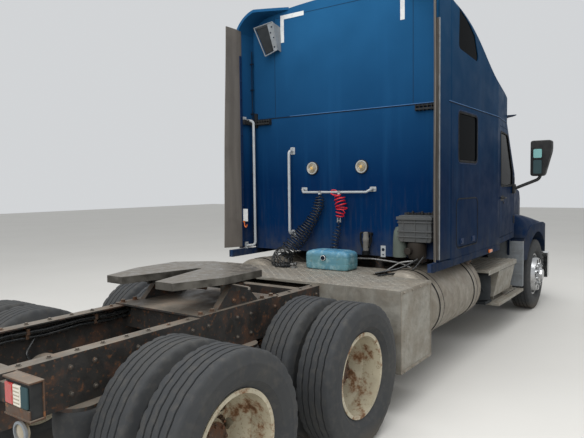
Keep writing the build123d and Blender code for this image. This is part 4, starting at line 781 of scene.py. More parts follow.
def helix(route, turns, radius, start_angle, wobble, seed):
    """Control points of a hanging coil about a route, with turns that differ a little."""
    chance = Random(seed)
    line = route_points(route)
    count = int(turns * STEPS_PER_TURN)
    sizes = [1 + chance.uniform(-wobble, wobble) for turn in range(int(turns) + 2)]
    normal = Vector(FORWARD)
    points = []
    for index in range(count + 1):
        share = index / count
        centre, tangent = at_length(line, share)
        normal = (normal - tangent * normal.dot(tangent)).normalized()
        other = tangent.cross(normal)
        turn = share * turns
        size = sizes[int(turn)] * (1 - turn % 1) + sizes[int(turn) + 1] * (turn % 1)
        ease = min(1, share * turns * END_EASE, (1 - share) * turns * END_EASE)
        angle = start_angle + 2 * pi * turn
        reach = radius(share)
        point = centre + (normal * cos(angle) + other * sin(angle)) * reach * size * ease
        point.z = max(point.z, DECK_TOP + HOSE_REST)
        point.x = min(point.x, BACK_X - HOSE_REST)
        points.append(point)
    return points


def cord_piece(name, points, diameter, finish, node):
    """Coiled hose as a curve that stands for its solid, which it hides."""
    thing = spline_object(name, points, diameter / 2)
    thing.data.materials.append(FINISHES[finish])
    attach(thing, "chassis")
    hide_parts(node)


RED_TURNS = 7
POWER_TURNS = 12
BLACK_TURNS = 19
AIR_HOSE = 0.012
POWER_CORD = 0.008
BLACK_HOSE = 0.0105
RED_RADIUS = 0.056

# (share of the length, radius) of the black coils, widest where they lie on the deck
HEAP_RADII = ((0.0, 0.044), (0.25, 0.062), (0.45, 0.082), (0.65, 0.104), (1.01, 0.070))


def heap_radius(share):
    """Radius of the black coils at a share of their length."""
    for (low, start), (high, end) in zip(HEAP_RADII, HEAP_RADII[1:]):
        if share < high:
            return start + (end - start) * (share - low) / (high - low)


def power_radius(share):
    """Radius of the thin coil, which opens out below its upper coupling."""
    return 0.014 + 0.027 * min(1, share * 3)


def make_cords():
    """Red air coil, thin coiled cord below it, and the black pair that sags onto the deck."""
    red = helix(RED_COIL, RED_TURNS, lambda share: RED_RADIUS, 0.4, 0.22, 3)
    cord_piece("red_air_hose", red, AIR_HOSE, "red_hose", "air_coil_red")
    power = helix(POWER_COIL, POWER_TURNS, power_radius, 1.0, 0.06, 5)
    cord_piece("power_cord", power, POWER_CORD, "black_hose", "power_coil")
    for name, start_angle, seed in (("black_air_hose_a", 0.0, 11), ("black_air_hose_b", pi, 12)):
        black = helix(BLACK_COIL, BLACK_TURNS, heap_radius, start_angle, 0.24, seed)
        cord_piece(name, black, BLACK_HOSE, "black_hose", "air_coil_black")


# Stage and light
FLOOR_HALF = 40
FLOOR_COLOUR = "#cfcdc8"
SKY_COLOUR = (0.86, 0.88, 0.9, 1)
SKY_STRENGTH = 0.75
# name, place, aim, size and power of each lamp
LAMPS = (
    ("overhead", (-1, -1, 9), (0, 0, 1), 9, 700),
    ("behind_camera", (-10, -3, 6), (-1, 0, 1.5), 6, 500),
)


def make_stage():
    """Pale floor and an even sky, with a large soft lamp overhead and one from behind the camera."""
    floor = Shape().box((-FLOOR_HALF, -FLOOR_HALF, -0.05), (FLOOR_HALF, FLOOR_HALF, 0))
    mesh = bpy.data.meshes.new("floor")
    mesh.from_pydata(floor.points, [], floor.faces)
    finish = Finish("floor", FLOOR_COLOUR, 0.9)
    finish.stain("#bdbab4", 0.2, 0.3, 0.7, 0.5)
    mesh.materials.append(finish.done())
    thing = bpy.data.objects.new("floor", mesh)
    bpy.context.collection.objects.link(thing)

    world = bpy.data.worlds.new("sky")
    world.use_nodes = True
    background = world.node_tree.nodes["Background"]
    background.inputs["Color"].default_value = SKY_COLOUR
    background.inputs["Strength"].default_value = SKY_STRENGTH
    bpy.context.scene.world = world

    for name, place, aim, size, power in LAMPS:
        data = bpy.data.lights.new(name, "AREA")
        data.size = size
        data.energy = power
        lamp = bpy.data.objects.new(name, data)
        lamp.location = place
        lamp.rotation_mode = "QUATERNION"
        lamp.rotation_quaternion = (Vector(aim) - Vector(place)).to_track_quat("-Z", "Y")
        bpy.context.collection.objects.link(lamp)
    bpy.context.scene.view_settings.view_transform = "Standard"


# Tyres: (rise over the rim, half width) up the wall, (drop from the tread, half width) at the shoulder
SIDEWALL = (
    (-0.010, 0.088), (0.004, 0.094), (0.016, 0.100), (0.022, 0.112), (0.040, 0.126), (0.044, 0.131),
    (0.050, 0.131), (0.075, 0.1405), (0.100, TYRE_HALF_WIDTH - 0.0005), (0.125, 0.1395), (0.131, 0.1410),
    (0.137, 0.1385), (0.165, 0.132),
)
SHOULDER = ((0.022, 0.126), (0.016, 0.124), (0.006, 0.1185), (0.0015, 0.110))
TREAD_HALF = 0.115
GROOVES = (0.072, 0.024, -0.024, -0.072)
GROOVE_HALF = 0.0055
GROOVE_DEPTH = 0.013
TYRE_STEPS = 132
ZIGZAG = 0.0012
NOTCH = 0.006


def tyre_profile():
    """(radius, offset) points round a tyre's section, and the indices of its groove points."""
    outer = [(RIM_RADIUS + rise, half) for rise, half in SIDEWALL]
    outer += [(TYRE_RADIUS - drop, half) for drop, half in SHOULDER]
    tread = []
    for groove in GROOVES:
        edge = TYRE_RADIUS - 0.001 - 0.004 * (groove / TREAD_HALF) ** 2
        tread += [
            (edge, groove + GROOVE_HALF),
            (edge - GROOVE_DEPTH, groove + GROOVE_HALF * 0.6),
            (edge - GROOVE_DEPTH, groove - GROOVE_HALF * 0.6),
            (edge, groove - GROOVE_HALF),
        ]
    profile = outer + tread + [(radius, -half) for radius, half in reversed(outer)]
    return profile, range(len(outer), len(outer) + len(tread))


def tyre_shape(shape, x, y):
    """Adds one tyre with zigzag grooves and notched shoulders."""
    profile, zigzag = tyre_profile()
    shoulders = [index for index, (r, offset) in enumerate(profile) if abs(offset) > 0.109 and r > 0.485]

    def shift(step, index, radius, offset):
        if index in zigzag:
            offset += ZIGZAG * (1 if step % 4 < 2 else -1)
        if index in shoulders and step % 4 == 0:
            radius -= NOTCH
            offset *= 0.985
        return radius, offset

    return shape.lathe(profile, (x, y, AXLE_Z), (0, 1, 0), TYRE_STEPS, shift)


def make_tyres():
    """Road tyres in place of the plain rings."""
    for name, sign in SIDES:
        shape = tyre_shape(Shape(), FRONT_AXLE, sign * FRONT_TYRE)
        node = f"tyre_front_{name}"
        piece(f"front_tyre_{name}", shape, "tyre", f"front_wheel_{name}", replaces=[node])
        for axle, x in AXLES.items():
            shape = Shape()
            for half in (TWIN_PLANE + DISC_OFFSET, TWIN_PLANE - DISC_OFFSET):
                tyre_shape(shape, x, sign * half)
            node = f"tyres_{axle}_{name}"
            piece(f"{axle}_tyres_{name}", shape, "tyre", f"{axle}_wheels_{name}", replaces=[node])


STUD_CIRCLE = 0.1425
STUDS = 10
HUB_CIRCLE = 0.074
HUB_BOLTS = 8
HUB_PROFILE = [(0.088, -0.018), (0.092, -0.006), (0.092, 0.004), (0.084, 0.010), (0.03, 0.012)]


def wheel_nuts(x, y, outward):
    """Ring of wheel nuts on studs, pointing outboard."""
    shape = Shape()
    for place in spots_round((x, y, AXLE_Z), STUD_CIRCLE, STUDS, 0.5):
        shape.bolt(place, (0, outward, 0), 0.033, 0.022)
        shape.rod(place, (place[0], y + outward * 0.038, place[2]), 0.010, 10)
    return shape


def make_wheel_fittings():
    """Nuts, hub flanges and valves on all wheels."""
    for name, sign in SIDES:
        for axle, x in AXLES.items():
            face = sign * (TWIN_PLANE + DISC_OFFSET - 0.166 + 0.012)
            body = f"{axle}_wheels_{name}"
            piece(f"{axle}_nuts_{name}", wheel_nuts(x, face, sign), "rusty_steel", body)
            hub = Shape()
            y = sign * (TWIN_PLANE + 0.096)
            hub.disc(HUB_PROFILE, (x, y, AXLE_Z), (0, sign, 0), 40)
            for place in spots_round((x, y + sign * 0.009, AXLE_Z), HUB_CIRCLE, HUB_BOLTS):
                hub.bolt(place, (0, sign, 0), 0.019, 0.010)
            valve = (x - 0.19, sign * (TWIN_PLANE + 0.10), AXLE_Z + 0.09)
            tip = (x - 0.215, sign * (TWIN_PLANE + 0.215), AXLE_Z + 0.12)
            hub.rod(valve, tip, 0.005, 8)
            piece(f"{axle}_hub_{name}", hub, "rusty_steel", body, bevel=0.001, slot="cast")
        nuts = wheel_nuts(FRONT_AXLE, sign * (FRONT_TYRE + DISC_OFFSET), sign)
        piece(f"front_nuts_{name}", nuts, "chrome", f"front_wheel_{name}")


# Back wall
def wall(y, z, reach=0.0):
    """Point on the back wall, or some distance behind it."""
    return Vector((BACK_X - reach, y, z))


def wall_points(*places):
    """Points behind the back wall, each given as (Y, Z, reach)."""
    return [wall(*place) for place in places]


ROOF_SEAM_HALF = 0.820
ROOF_PANEL_TOP = 3.680
SEAM_END = 1.09
RIVET = [(0.0045, 0), (0.004, 0.0012), (0.002, 0.002)]
RIVET_COLUMNS = (-0.98, -0.80, -0.62, -0.44, 0.06, 0.24, 0.46, 0.72, 0.90)
TAPE_OUTER = 0.735
TAPE_TOP = 3.700
TAPE_WIDTH = 0.046
TAPE_LEG = 0.31
TAPE_THICK = 0.0016
WORK_LAMPS = (0.325, -0.270)
WORK_LAMP_Z = 2.018


def make_wall_panels():
    """Joint strip between cab and roof, panel seams, rivet rows and corner tapes."""
    strip = Shape()
    strip.on_wall((-SEAM_END, SEAM_END), (SEAM_Z - 0.005, SEAM_Z + 0.005), 0.003)
    for sign in (-1, 1):
        seam = sign * ROOF_SEAM_HALF
        strip.on_wall((seam - 0.002, seam + 0.002), (SEAM_Z, 3.69), 0.0012)
    strip.on_wall((-0.80, 0.80), (ROOF_PANEL_TOP - 0.002, ROOF_PANEL_TOP + 0.002), 0.0012)
    piece("wall_seams", strip, "seam_black")

    # Pale strip over the joint on the back wall: a painted highlight
    edge = Shape()
    edge.on_wall((-SEAM_END, 0.62), (SEAM_Z + 0.005, SEAM_Z + 0.010), 0.005)
    piece("wall_joint_highlight", edge, "edge_paint")

    rivets = Shape()
    for column in RIVET_COLUMNS:
        for row in range(13):
            z = 1.20 + 0.105 * row
            beside_lamp = column == 0.24 and abs(z - WORK_LAMP_Z) < 0.09
            if not beside_lamp:
                rivets.disc(RIVET, wall(column, z), REARWARD, 8)
    for sign in (-1, 1):
        for row in range(11):
            rivets.disc(RIVET, wall(sign * (ROOF_SEAM_HALF + 0.02), 2.66 + 0.095 * row), REARWARD, 8)
    piece("wall_rivets", rivets, "cab_paint")

    tapes = Shape()
    for sign in (-1, 1):
        outer = sign * TAPE_OUTER
        inner = sign * (TAPE_OUTER - TAPE_WIDTH)
        far = sign * (TAPE_OUTER - TAPE_LEG)
        tapes.on_wall((outer, inner), (3.405, TAPE_TOP), TAPE_THICK)
        tapes.on_wall((inner, far), (TAPE_TOP - TAPE_WIDTH, TAPE_TOP), TAPE_THICK)
    piece("corner_tapes", tapes, "white_tape")


BEZEL = [(0.0655, 0.000), (0.0655, 0.004), (0.0630, 0.008), (0.0570, 0.009), (0.0500, 0.005), (0.0500, 0.0)]
BEZEL_SCREW = [(0.004, 0), (0.0035, 0.0025), (0.002, 0.003)]
BEZEL_SCREW_CIRCLE = 0.0595
BULB = [(0.019, 0.011), (0.017, 0.0145), (0.009, 0.0165), (0.003, 0.017)]


def make_work_lamps():
    """Two round work lamps: bezel with four screws, ribbed lens and the glow in its middle."""
    for index, y in enumerate(WORK_LAMPS):
        face = wall(y, WORK_LAMP_Z, 0.020)
        bezel = Shape().lathe(BEZEL, face, REARWARD, 48)
        for step in range(4):
            angle = pi / 4 + step * pi / 2
            offset = Vector((-0.006, BEZEL_SCREW_CIRCLE * cos(angle), BEZEL_SCREW_CIRCLE * sin(angle)))
            bezel.disc(BEZEL_SCREW, face + offset, REARWARD, 12)
        piece(f"work_lamp_bezel_{index}", bezel, "lamp_ring")
        profile = [(0.0500, 0.003)]
        for ring in range(9):
            radius = 0.047 - ring * 0.0049
            height = 0.004 + 0.0085 * sqrt(max(0.0, 1 - (radius / 0.053) ** 2))
            profile += [(radius, height + 0.0012), (radius - 0.0026, height - 0.0004)]
        profile.append((0.002, 0.0128))
        piece(f"work_lamp_lens_{index}", Shape().disc(profile, face, REARWARD, 48), "work_lens")
        piece(f"work_lamp_bulb_{index}", Shape().disc(BULB, face, REARWARD, 24), "amber_glow")


HOSE_BAR_ENDS = (0.437, -0.392)
HOSE_BAR_Z = 1.762
INNER_HANDLE = (0.590, 1.306, 2.215)
OUTER_HANDLE_ENDS = (1.160, 2.575)
OUTER_FOOT_REACH = 0.155
FOOT_BOLT = (0.013, 0.007)


def make_handle_feet():
    """Feet with screws under the hose bar and the grab handles."""
    feet = Shape()
    spots = [(y, HOSE_BAR_Z + 0.028, 0.036, 0.024) for y in HOSE_BAR_ENDS]
    y, low, high = INNER_HANDLE
    spots += [(y, low, 0.030, 0.040), (y, high, 0.030, 0.040)]
    for y, z, half_y, half_z in spots:
        left, right = y - half_y, y + half_y
        foot, head = z - half_z, z + half_z
        outline = wall_points((left, foot), (right, foot), (right, head), (left, head))
        feet.prism(rounded(outline, 0.012), (-0.005, 0, 0))
        reach = 0.7 * half_y if half_y > half_z else 0.0
        drop = 0.0 if half_y > half_z else 0.7 * half_z
        for sign in (-1, 1):
            feet.bolt(wall(y + sign * reach, z + sign * drop, 0.005), REARWARD, *FOOT_BOLT)
        feet.lathe([(0.013, 0), (0.019, 0), (0.015, 0.012), (0.013, 0.012)], wall(y, z, 0.004), REARWARD, 20)
    for z in OUTER_HANDLE_ENDS:
        place = wall(EXTENDER_INNER, z, OUTER_FOOT_REACH)
        feet.box(place + Vector((-0.030, -0.005, -0.042)), place + Vector((0.030, 0, 0.042)))
        for rise in (-0.030, 0.030):
            feet.bolt(place + Vector((0, -0.005, rise)), (0, -1, 0), *FOOT_BOLT)
    piece("handle_feet", feet, "white_paint", bevel=0.0008)


def make_hose_clamps():
    """Clamps on the hose bar where the red and the black coils hang."""
    clips = Shape()
    for reach, y, _ in (RED_COIL[0], BLACK_COIL[0]):
        clips.lathe(band(0.0122, 0.0150, -0.016, 0.016), (BACK_X - reach, y, HOSE_BAR_Z), (0, 1, 0), 24)
        clips.on_wall((y - 0.012, y + 0.012), (HOSE_BAR_Z - 0.020, HOSE_BAR_Z - 0.012), 0.070, 0.090)
    piece("hose_clamps", clips, "bare_steel")


def make_hose_tail():
    """Two red strands that loop beside the bar to the red coil's upper end."""
    strands = Shape()
    start = (0.05, 1.748, 0.085)
    low_strand = wall_points(start, (0.02, 1.735, 0.10), (-0.035, 1.728, 0.092), (-0.045, 1.738, 0.080))
    high_strand = wall_points(start, (0.045, 1.785, 0.082), (0.00, 1.782, 0.072), (-0.03, 1.745, 0.066))
    strands.pipe(low_strand, 0.012, 0.006)
    strands.pipe(high_strand, 0.012, 0.006)
    piece("red_hose_tail", strands, "red_hose")


# Profiles of the turned couplings: hexagon, neck and collar of the air coil, plug, nut and collar on the deck
HEXAGON = [(0.007, 0), (0.009, 0.002), (0.009, 0.018), (0.007, 0.020)]
NECK = [(0.0065, 0), (0.0065, 0.018)]
COLLAR = [(0.010, 0), (0.011, 0.001), (0.011, 0.010), (0.010, 0.011)]
PLUG = [(0.020, 0), (0.020, 0.010), (0.014, 0.014), (0.014, 0.030), (0.009, 0.034)]
DECK_NUT = [(0.008, 0), (0.011, 0.004), (0.011, 0.024), (0.009, 0.026), (0.009, 0.044)]
DECK_COLLAR = [(0.016, 0), (0.017, 0.002), (0.017, 0.012), (0.012, 0.016)]
DECK_COUPLING_Z = 1.040
ON_DECK = 1.0005


def make_hose_ends():
    """Turned couplings in place of the plain blocks between and below the coils."""
    ends = Shape()
    reach, y, _ = RED_COIL[-1]
    low = POWER_COIL[0][2]
    x = BACK_X - reach
    for offset in (-0.016, 0.016):
        for profile, rise, sides in ((HEXAGON, 0.012, 6), (NECK, 0.031, 16), (COLLAR, 0.001, 20)):
            ends.disc(profile, (x, y + offset, low + rise), UPWARD, sides)
    ends.box((x - 0.006, y - 0.020, low + 0.014), (x + 0.006, y + 0.020, low + 0.026))
    reach, y, _ = POWER_COIL[-1]
    ends.disc(PLUG, (BACK_X - reach, y, ON_DECK), UPWARD, 24)
    reach, y, _ = BLACK_COIL[-1]
    x = BACK_X - reach
    for offset in (-0.022, 0.022):
        ends.disc(DECK_NUT, (x + offset, y - 0.002, DECK_COUPLING_Z), (0, -1, 0), 6)
        ends.disc(DECK_COLLAR, (x + offset, y - 0.030, DECK_COUPLING_Z), (0, -1, 0), 24)
    ends.box((x - 0.028, y - 0.058, ON_DECK), (x + 0.028, y - 0.02, 1.022))
    piece("hose_couplings", ends, "bare_steel", bevel=0.0006, replaces=["hose_ends"])


# (Y, Z, distance behind the wall) down the cable, and the heights of its clips
CABLE = (
    (1.120, 3.36, 0.035), (1.126, 2.95, 0.032), (1.122, 2.66, 0.034), (1.108, 2.45, 0.030),
    (1.122, 1.90, 0.032), (1.112, 1.42, 0.030), (1.120, 1.20, 0.036),
)
CABLE_CLIPS = (3.22, 2.93, 2.66, 2.30, 1.98, 1.62, 1.36)


def make_seam_brackets():
    """Stepped black brackets at the seam, near both ends of the wall."""
    brackets = Shape()
    outer = 1.10
    for sign, inner in ((1, 0.88), (-1, 0.86)):
        brackets.on_wall((sign * inner, sign * outer), (2.530, 2.548), 0.050)
        brackets.on_wall((sign * inner, sign * outer), (2.566, 2.578), 0.036)
        for step in range(7):
            y = sign * (inner + (outer - inner) * step / 6)
            brackets.on_wall((y - 0.004, y + 0.004), (2.522, 2.584), 0.046)
        brackets.on_wall((sign * (outer - 0.03), sign * outer), (2.50, 2.66), 0.03)
    for step in range(5):
        reach = 0.034 * step
        brackets.on_wall((1.096, EXTENDER_INNER), (2.528, 2.582), 0.066 + reach, 0.058 + reach)
    brackets.on_wall((1.108, EXTENDER_INNER), (2.542, 2.568), 0.205, 0.040)
    piece("seam_brackets", brackets, "black_plastic", bevel=0.001)


def make_wall_cable():
    """Cable clipped to the wall beside the left extender."""
    cable = Shape()
    cable.pipe(wall_points(*CABLE), 0.05, 0.0045, 8)
    for z in CABLE_CLIPS:
        cable.on_wall((1.100, EXTENDER_INNER), (z - 0.006, z + 0.006), 0.042, 0.026)
    piece("wall_cable", cable, "seam_black")


def make_label():
    """Blank white label that faces the rear, and the orange hook below it."""
    label = Shape().on_wall((EXTENDER_INNER - 0.080, EXTENDER_INNER), (1.440, 1.580), 0.222, 0.218)
    piece("blank_label", label, "white_tape", bevel=0.002)
    hook = Shape()
    bends = ((1.112, 1.436), (1.112, 1.395), (1.094, 1.368), (1.076, 1.388), (1.076, 1.405))
    hook.pipe([wall(y, z, 0.222) for y, z in bends], 0.014, 0.006)
    hook.on_wall((1.104, EXTENDER_INNER), (1.430, 1.445), 0.228, 0.222)
    piece("label_hook", hook, "amber_lens")


def make_small_plate():
    """Small plate with two holes, low on the wall."""
    plate = Shape().on_wall((-0.528, -0.475), (1.110, 1.225), 0.003)
    piece("small_plate", plate, "white_paint", bevel=0.0008)
    hole = Shape()
    hole.disc([(0.016, 0), (0.016, 0.0015)], wall(-0.502, 1.185, 0.003), REARWARD, 20)
    hole.disc([(0.008, 0), (0.008, 0.0015)], wall(-0.502, 1.135, 0.003), REARWARD, 16)
    piece("small_plate_holes", hole, "seam_black")


def make_low_lines():
    """Bare pipes and black hoses low behind the wall, below the valve housing."""
    pipe = Shape()
    route = wall_points((-0.22, 1.085, 0.05), (-0.40, 1.095, 0.06), (-0.72, 1.075, 0.07), (-0.86, 1.03, 0.10))
    pipe.pipe(route, 0.05, 0.008)
    pipe.pipe(wall_points((-0.66, 1.02, 0.25), (-0.78, 1.10, 0.22), (-0.90, 1.12, 0.19)), 0.03, 0.007)
    piece("low_pipe", pipe, "bare_steel")
    hoses = Shape()
    hoses.pipe(wall_points((-0.95, 1.14, 0.20), (-0.84, 1.06, 0.30), (-0.62, 1.012, 0.42)), 0.07, 0.0085)
    hoses.pipe(wall_points((-0.99, 1.16, 0.16), (-0.90, 1.02, 0.22), (-0.70, 1.012, 0.52)), 0.07, 0.0085)
    piece("low_hoses", hoses, "black_hose")


ROUND_BODY = [(0.05, 0), (0.078, 0.008), (0.088, 0.03), (0.090, 0.14), (0.084, 0.158), (0.060, 0.166)]
SIDE_BOWL = [
    (0.048, 0), (0.066, 0.006), (0.068, 0.05), (0.066, 0.16), (0.058, 0.25), (0.040, 0.290), (0.012, 0.300),
]
FILTER_BODY = [
    (0.012, 0), (0.026, 0.006), (0.030, 0.02), (0.030, 0.115), (0.033, 0.122), (0.033, 0.150), (0.028, 0.160),
    (0.028, 0.205), (0.020, 0.214),
]
FILTER_Y = -0.340
FILTER_REACH = 0.060


def make_valve_housing():
    """Ribbed grey housing with knobs on top, and the two bowls under and beside it."""
    housing = Shape()
    outline = rounded(wall_points((-0.752, 1.292), (-1.072, 1.292), (-1.072, 1.543), (-0.742, 1.543)), 0.028)
    housing.prism([point + Vector((-0.001, 0, 0)) for point in outline], (-0.176, 0, 0))
    for z in (1.335, 1.385, 1.470):
        housing.on_wall((-0.738, -1.080), (z, z + 0.014), 0.191, 0.02)
    housing.on_wall((-0.730, -1.084), (1.500, 1.530), 0.1965, 0.01)
    for step in range(3):
        y = -0.792 - step * 0.115
        housing.on_wall((y, y - 0.012), (1.296, 1.500), 0.186, 0.02)
    piece("valve_housing", housing, "housing_grey", bevel=0.004, replaces=["rear_fittings"])

    knobs = Shape()
    for step in range(9):
        knob = [(0.014, 0), (0.015, 0.006), (0.010, 0.016 + 0.010 * (step % 3))]
        knobs.disc(knob, wall(-0.775 - step * 0.034, 1.543, 0.06 + 0.02 * (step % 2)), UPWARD, 12)
    knobs.on_wall((-0.75, -1.06), (1.543, 1.562), 0.02, 0.05)
    piece("housing_knobs", knobs, "black_plastic", bevel=0.001)

    bowl = Shape()
    bowl.disc(ROUND_BODY, (BACK_X - 0.095, -0.900, 1.126), UPWARD, 40)
    port = [(0.03, 0), (0.034, 0.004), (0.034, 0.05), (0.03, 0.054)]
    bowl.disc(port, (BACK_X - 0.18, -0.86, 1.21), REARWARD, 24)
    bowl.on_wall((-0.655, -0.745), (1.240, 1.270), 0.070, 0.002)
    piece("housing_bowl", bowl, "brown_plastic", bevel=0.006)
    side_bowl = Shape().disc(SIDE_BOWL, (BACK_X - 0.075, -0.716, 1.130), UPWARD, 36)
    piece("housing_side_bowl", side_bowl, "bowl_green")


def make_filter():
    """Small filter between the coils and the housing, with its foot, clamps and two pipes."""
    x = BACK_X - FILTER_REACH
    piece("filter", Shape().disc(FILTER_BODY, (x, FILTER_Y, 1.146), UPWARD, 32), "grey_plastic", bevel=0.0008)
    clamp = Shape()
    clamp.disc([(0.034, 0), (0.040, 0.006), (0.040, 0.040), (0.034, 0.046)], (x, FILTER_Y, 1.128), UPWARD, 24)
    clamp.on_wall((-0.375, -0.305), (1.268, 1.300), 0.045)
    clamp.on_wall((-0.39, -0.29), (1.325, 1.352), 0.012)
    for sign in (-1, 1):
        clamp.bolt(wall(FILTER_Y + sign * 0.04, 1.338, 0.012), REARWARD, 0.013, 0.008)
        bends = ((0.02, 1.352, 0.055), (0.056, 1.352, 0.066), (0.060, 1.27, 0.060), (0.034, 1.20, 0.066))
        clamp.pipe([wall(FILTER_Y + sign * y, z, reach) for y, z, reach in bends], 0.012, 0.010, 8)
    piece("filter_clamp", clamp, "seal_black", bevel=0.0008)


# (share across, share up, radius) of the holes in the lamp bracket
BRACKET_HOLES = ((0.10, 0.84, 0.009), (0.22, 0.66, 0.009), (0.10, 0.46, 0.008), (0.18, 0.14, 0.009))


def make_lamp_bracket():
    """Folded grey sheet bracket with round holes, high on the left; the holes are dark discs of painted
    shade.
    """
    corners = ((0.965, 3.565, 0.180), (0.760, 3.615, 0.115), (0.735, 3.325, 0.060), (0.850, 3.255, 0.130))
    face = wall_points(*corners)
    upper_left, upper_right, lower_right, lower_left = face
    sheet = Shape()
    top = wall_points((0.735, 3.575, 0.004), (0.955, 3.535, 0.004)) + [upper_left, upper_right]
    sheet.prism(top, (0, 0, -0.003))
    for start, end in zip(face, face[1:] + face[:1]):
        sheet.rod(start, end, 0.006, 8)
    plate = [upper_right, lower_right, lower_right.lerp(lower_left, 0.30), upper_right.lerp(upper_left, 0.30)]
    sheet.prism(plate, (0.003, 0.001, 0))
    cheek = [upper_right] + wall_points((0.735, 3.575, 0.003), (0.728, 3.305, 0.003)) + [lower_right]
    sheet.prism(cheek, (0, 0.003, 0))
    piece("lamp_bracket", sheet, "sheet_grey", bevel=0.0008)
    inside = Shape()
    inside.prism([point.lerp(wall(0.85, 3.425, 0.02), 0.12) for point in face], (0.003, 0.001, 0))
    piece("lamp_bracket_inside", inside, "shadow_grey", slot="bare_steel")
    # The holes are dark discs on the face: painted shade of the bracket's inside seen through them
    holes = Shape()
    normal = (upper_left - upper_right).cross(lower_right - upper_right).normalized()
    if normal.x > 0:
        normal = -normal
    for share_y, share_z, size in BRACKET_HOLES:
        upper = upper_right.lerp(upper_left, share_y)
        lower = lower_right.lerp(lower_left, share_y)
        holes.disc([(size, -0.001), (size, 0.0018)], lower.lerp(upper, share_z), normal, 20)
    piece("lamp_bracket_hole_shade", holes, "seam_black")


# (share of the height, share of the width) up the canister
CANISTER_BANDS = (
    (0.0, 0.90), (0.04, 0.97), (0.10, 0.995), (0.30, 1.0), (0.33, 0.985), (0.36, 1.0), (0.62, 1.0),
    (0.65, 0.985), (0.68, 1.0), (0.82, 0.99), (0.90, 0.93), (0.96, 0.80), (1.0, 0.62),
)
CANISTER_STEPS = 40
CANISTER_SQUARENESS = 0.28


def squared(value):
    """Sine or cosine pressed outwards, so that a ring of them becomes a rounded square."""
    return abs(value) ** CANISTER_SQUARENESS * (1 if value > 0 else -1)


def make_canister():
    """Blow-moulded canister with grooves round it and a narrowing shoulder, its cap and a ring."""
    low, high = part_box("water_canister")
    middle = (low + high) / 2
    half = (high - low) / 2
    points = []
    for rise, width in CANISTER_BANDS:
        z = low.z + (high.z - low.z) * rise
        for step in range(CANISTER_STEPS):
            angle = 2 * pi * step / CANISTER_STEPS
            x = middle.x + half.x * width * squared(cos(angle))
            points.append((x, middle.y + half.y * width * squared(sin(angle)), z))
    shape = Shape().sleeve(points, CANISTER_STEPS)
    thing = piece("water_container", shape, "canister", smooth=60, replaces=["water_canister"])
    smoother = thing.modifiers.new("smooth", "SUBSURF")
    smoother.levels = 1
    smoother.render_levels = 1
    face = (low.x + 0.004, middle.y + 0.02, low.z + (high.z - low.z) * 0.62)
    cap = [(0.030, -0.004), (0.030, 0.004), (0.022, 0.006), (0.022, 0.022), (0.019, 0.025)]
    piece("container_cap", Shape().disc(cap, face, REARWARD, 24), "seam_black")
    ring = Shape().lathe(band(0.0225, 0.027, 0.012, 0.018), face, REARWARD, 24)
    piece("container_ring", ring, "white_tape")


# Cab sides and front: the skin of the solids, so that trim lies on it
BELT_Z = 1.950
TAPER_START = 3.950
CORNER_LOW = (5.130, 1.080)
CORNER_HIGH = (4.790, 1.060)
FRONT_BOW = 0.120


def cab_corner(z):
    """(distance, half width) of the cab's front corner at a height."""
    t = min(max((z - BELT_Z) / (SEAM_Z - BELT_Z), 0), 1)
    return tuple(a + (b - a) * t for a, b in zip(CORNER_LOW, CORNER_HIGH))


def side_skin(distance, z, sign, proud=0.0):
    """Point on a cab side, or a little outside it."""
    corner_at, corner_half = cab_corner(z)
    t = min(max((distance - TAPER_START) / (corner_at - TAPER_START), 0), 1)
    half = CAB_HALF + (corner_half - CAB_HALF) * t
    return Vector((along(distance), sign * (half + proud), z))


def front_skin(y, z, proud=0.0):
    """Point on the bowed cab front, or a little ahead of it."""
    corner_at, corner_half = cab_corner(z)
    radius = (corner_half ** 2 + FRONT_BOW ** 2) / (2 * FRONT_BOW)
    front = corner_at + FRONT_BOW
    return Vector((along(front - (radius - sqrt(radius ** 2 - y ** 2)) + proud), y, z))


STRIP_SIDES = 6
STRIP_STEP = 0.06
STRIP_FLATNESS = 0.6


def strip_round(corners, radius, thickness, lay):
    """Closed rubber strip round an outline of (across, height) corners, laid on a skin."""
    outline = rounded([(a, b, 0) for a, b in corners], radius, 6)
    line = []
    for index, a in enumerate(outline):
        b = outline[(index + 1) % len(outline)]
        count = max(1, int((lay(b.x, b.y) - lay(a.x, a.y)).length / STRIP_STEP))
        for step in range(count):
            line.append(lay(a.x + (b.x - a.x) * step / count, a.y + (b.y - a.y) * step / count))
    count = len(line)
    points = []
    faces = []
    for index, point in enumerate(line):
        tangent = (line[(index + 1) % count] - line[index - 1]).normalized()
        on_side = abs(tangent.y) < 0.5 and abs(point.y) > 1
        outward = Vector((0, 1 if point.y > 0 else -1, 0)) if on_side else Vector(FORWARD)
        side = tangent.cross(outward).normalized()
        outward = side.cross(tangent).normalized()
        here = index * STRIP_SIDES
        there = (index + 1) % count * STRIP_SIDES
        for step in range(STRIP_SIDES):
            angle = 2 * pi * step / STRIP_SIDES
            points.append(point + (side * cos(angle) + outward * sin(angle) * STRIP_FLATNESS) * thickness)
            after = (step + 1) % STRIP_SIDES
            faces.append((here + step, here + after, there + after, there + step))
    return Shape().add(points, faces)


SLEEPER_WINDOW = ((2.600, 2.050), (3.170, 2.050), (3.170, 2.520), (2.600, 2.520))
DOOR_WINDOW = ((4.110, 1.800), (4.870, 1.800), (4.870, 1.985), (4.655, 2.440), (4.110, 2.440))
LUGGAGE_DOOR = ((2.560, 1.215), (3.190, 1.215), (3.190, 1.680), (2.560, 1.680))
WINDSCREEN = ((-0.950, 1.990), (0.950, 1.990), (0.925, 2.545), (-0.925, 2.545))
WINDOW_CORNER = 0.055
DOOR_CORNER = 0.070
CROWN_REAR = 5.264
CROWN_FRONT = 6.520
CROWN_INNER = 0.700
CROWN_OUTER = 1.168
CROWN_STEPS = 28
CROWN_ACROSS = 14


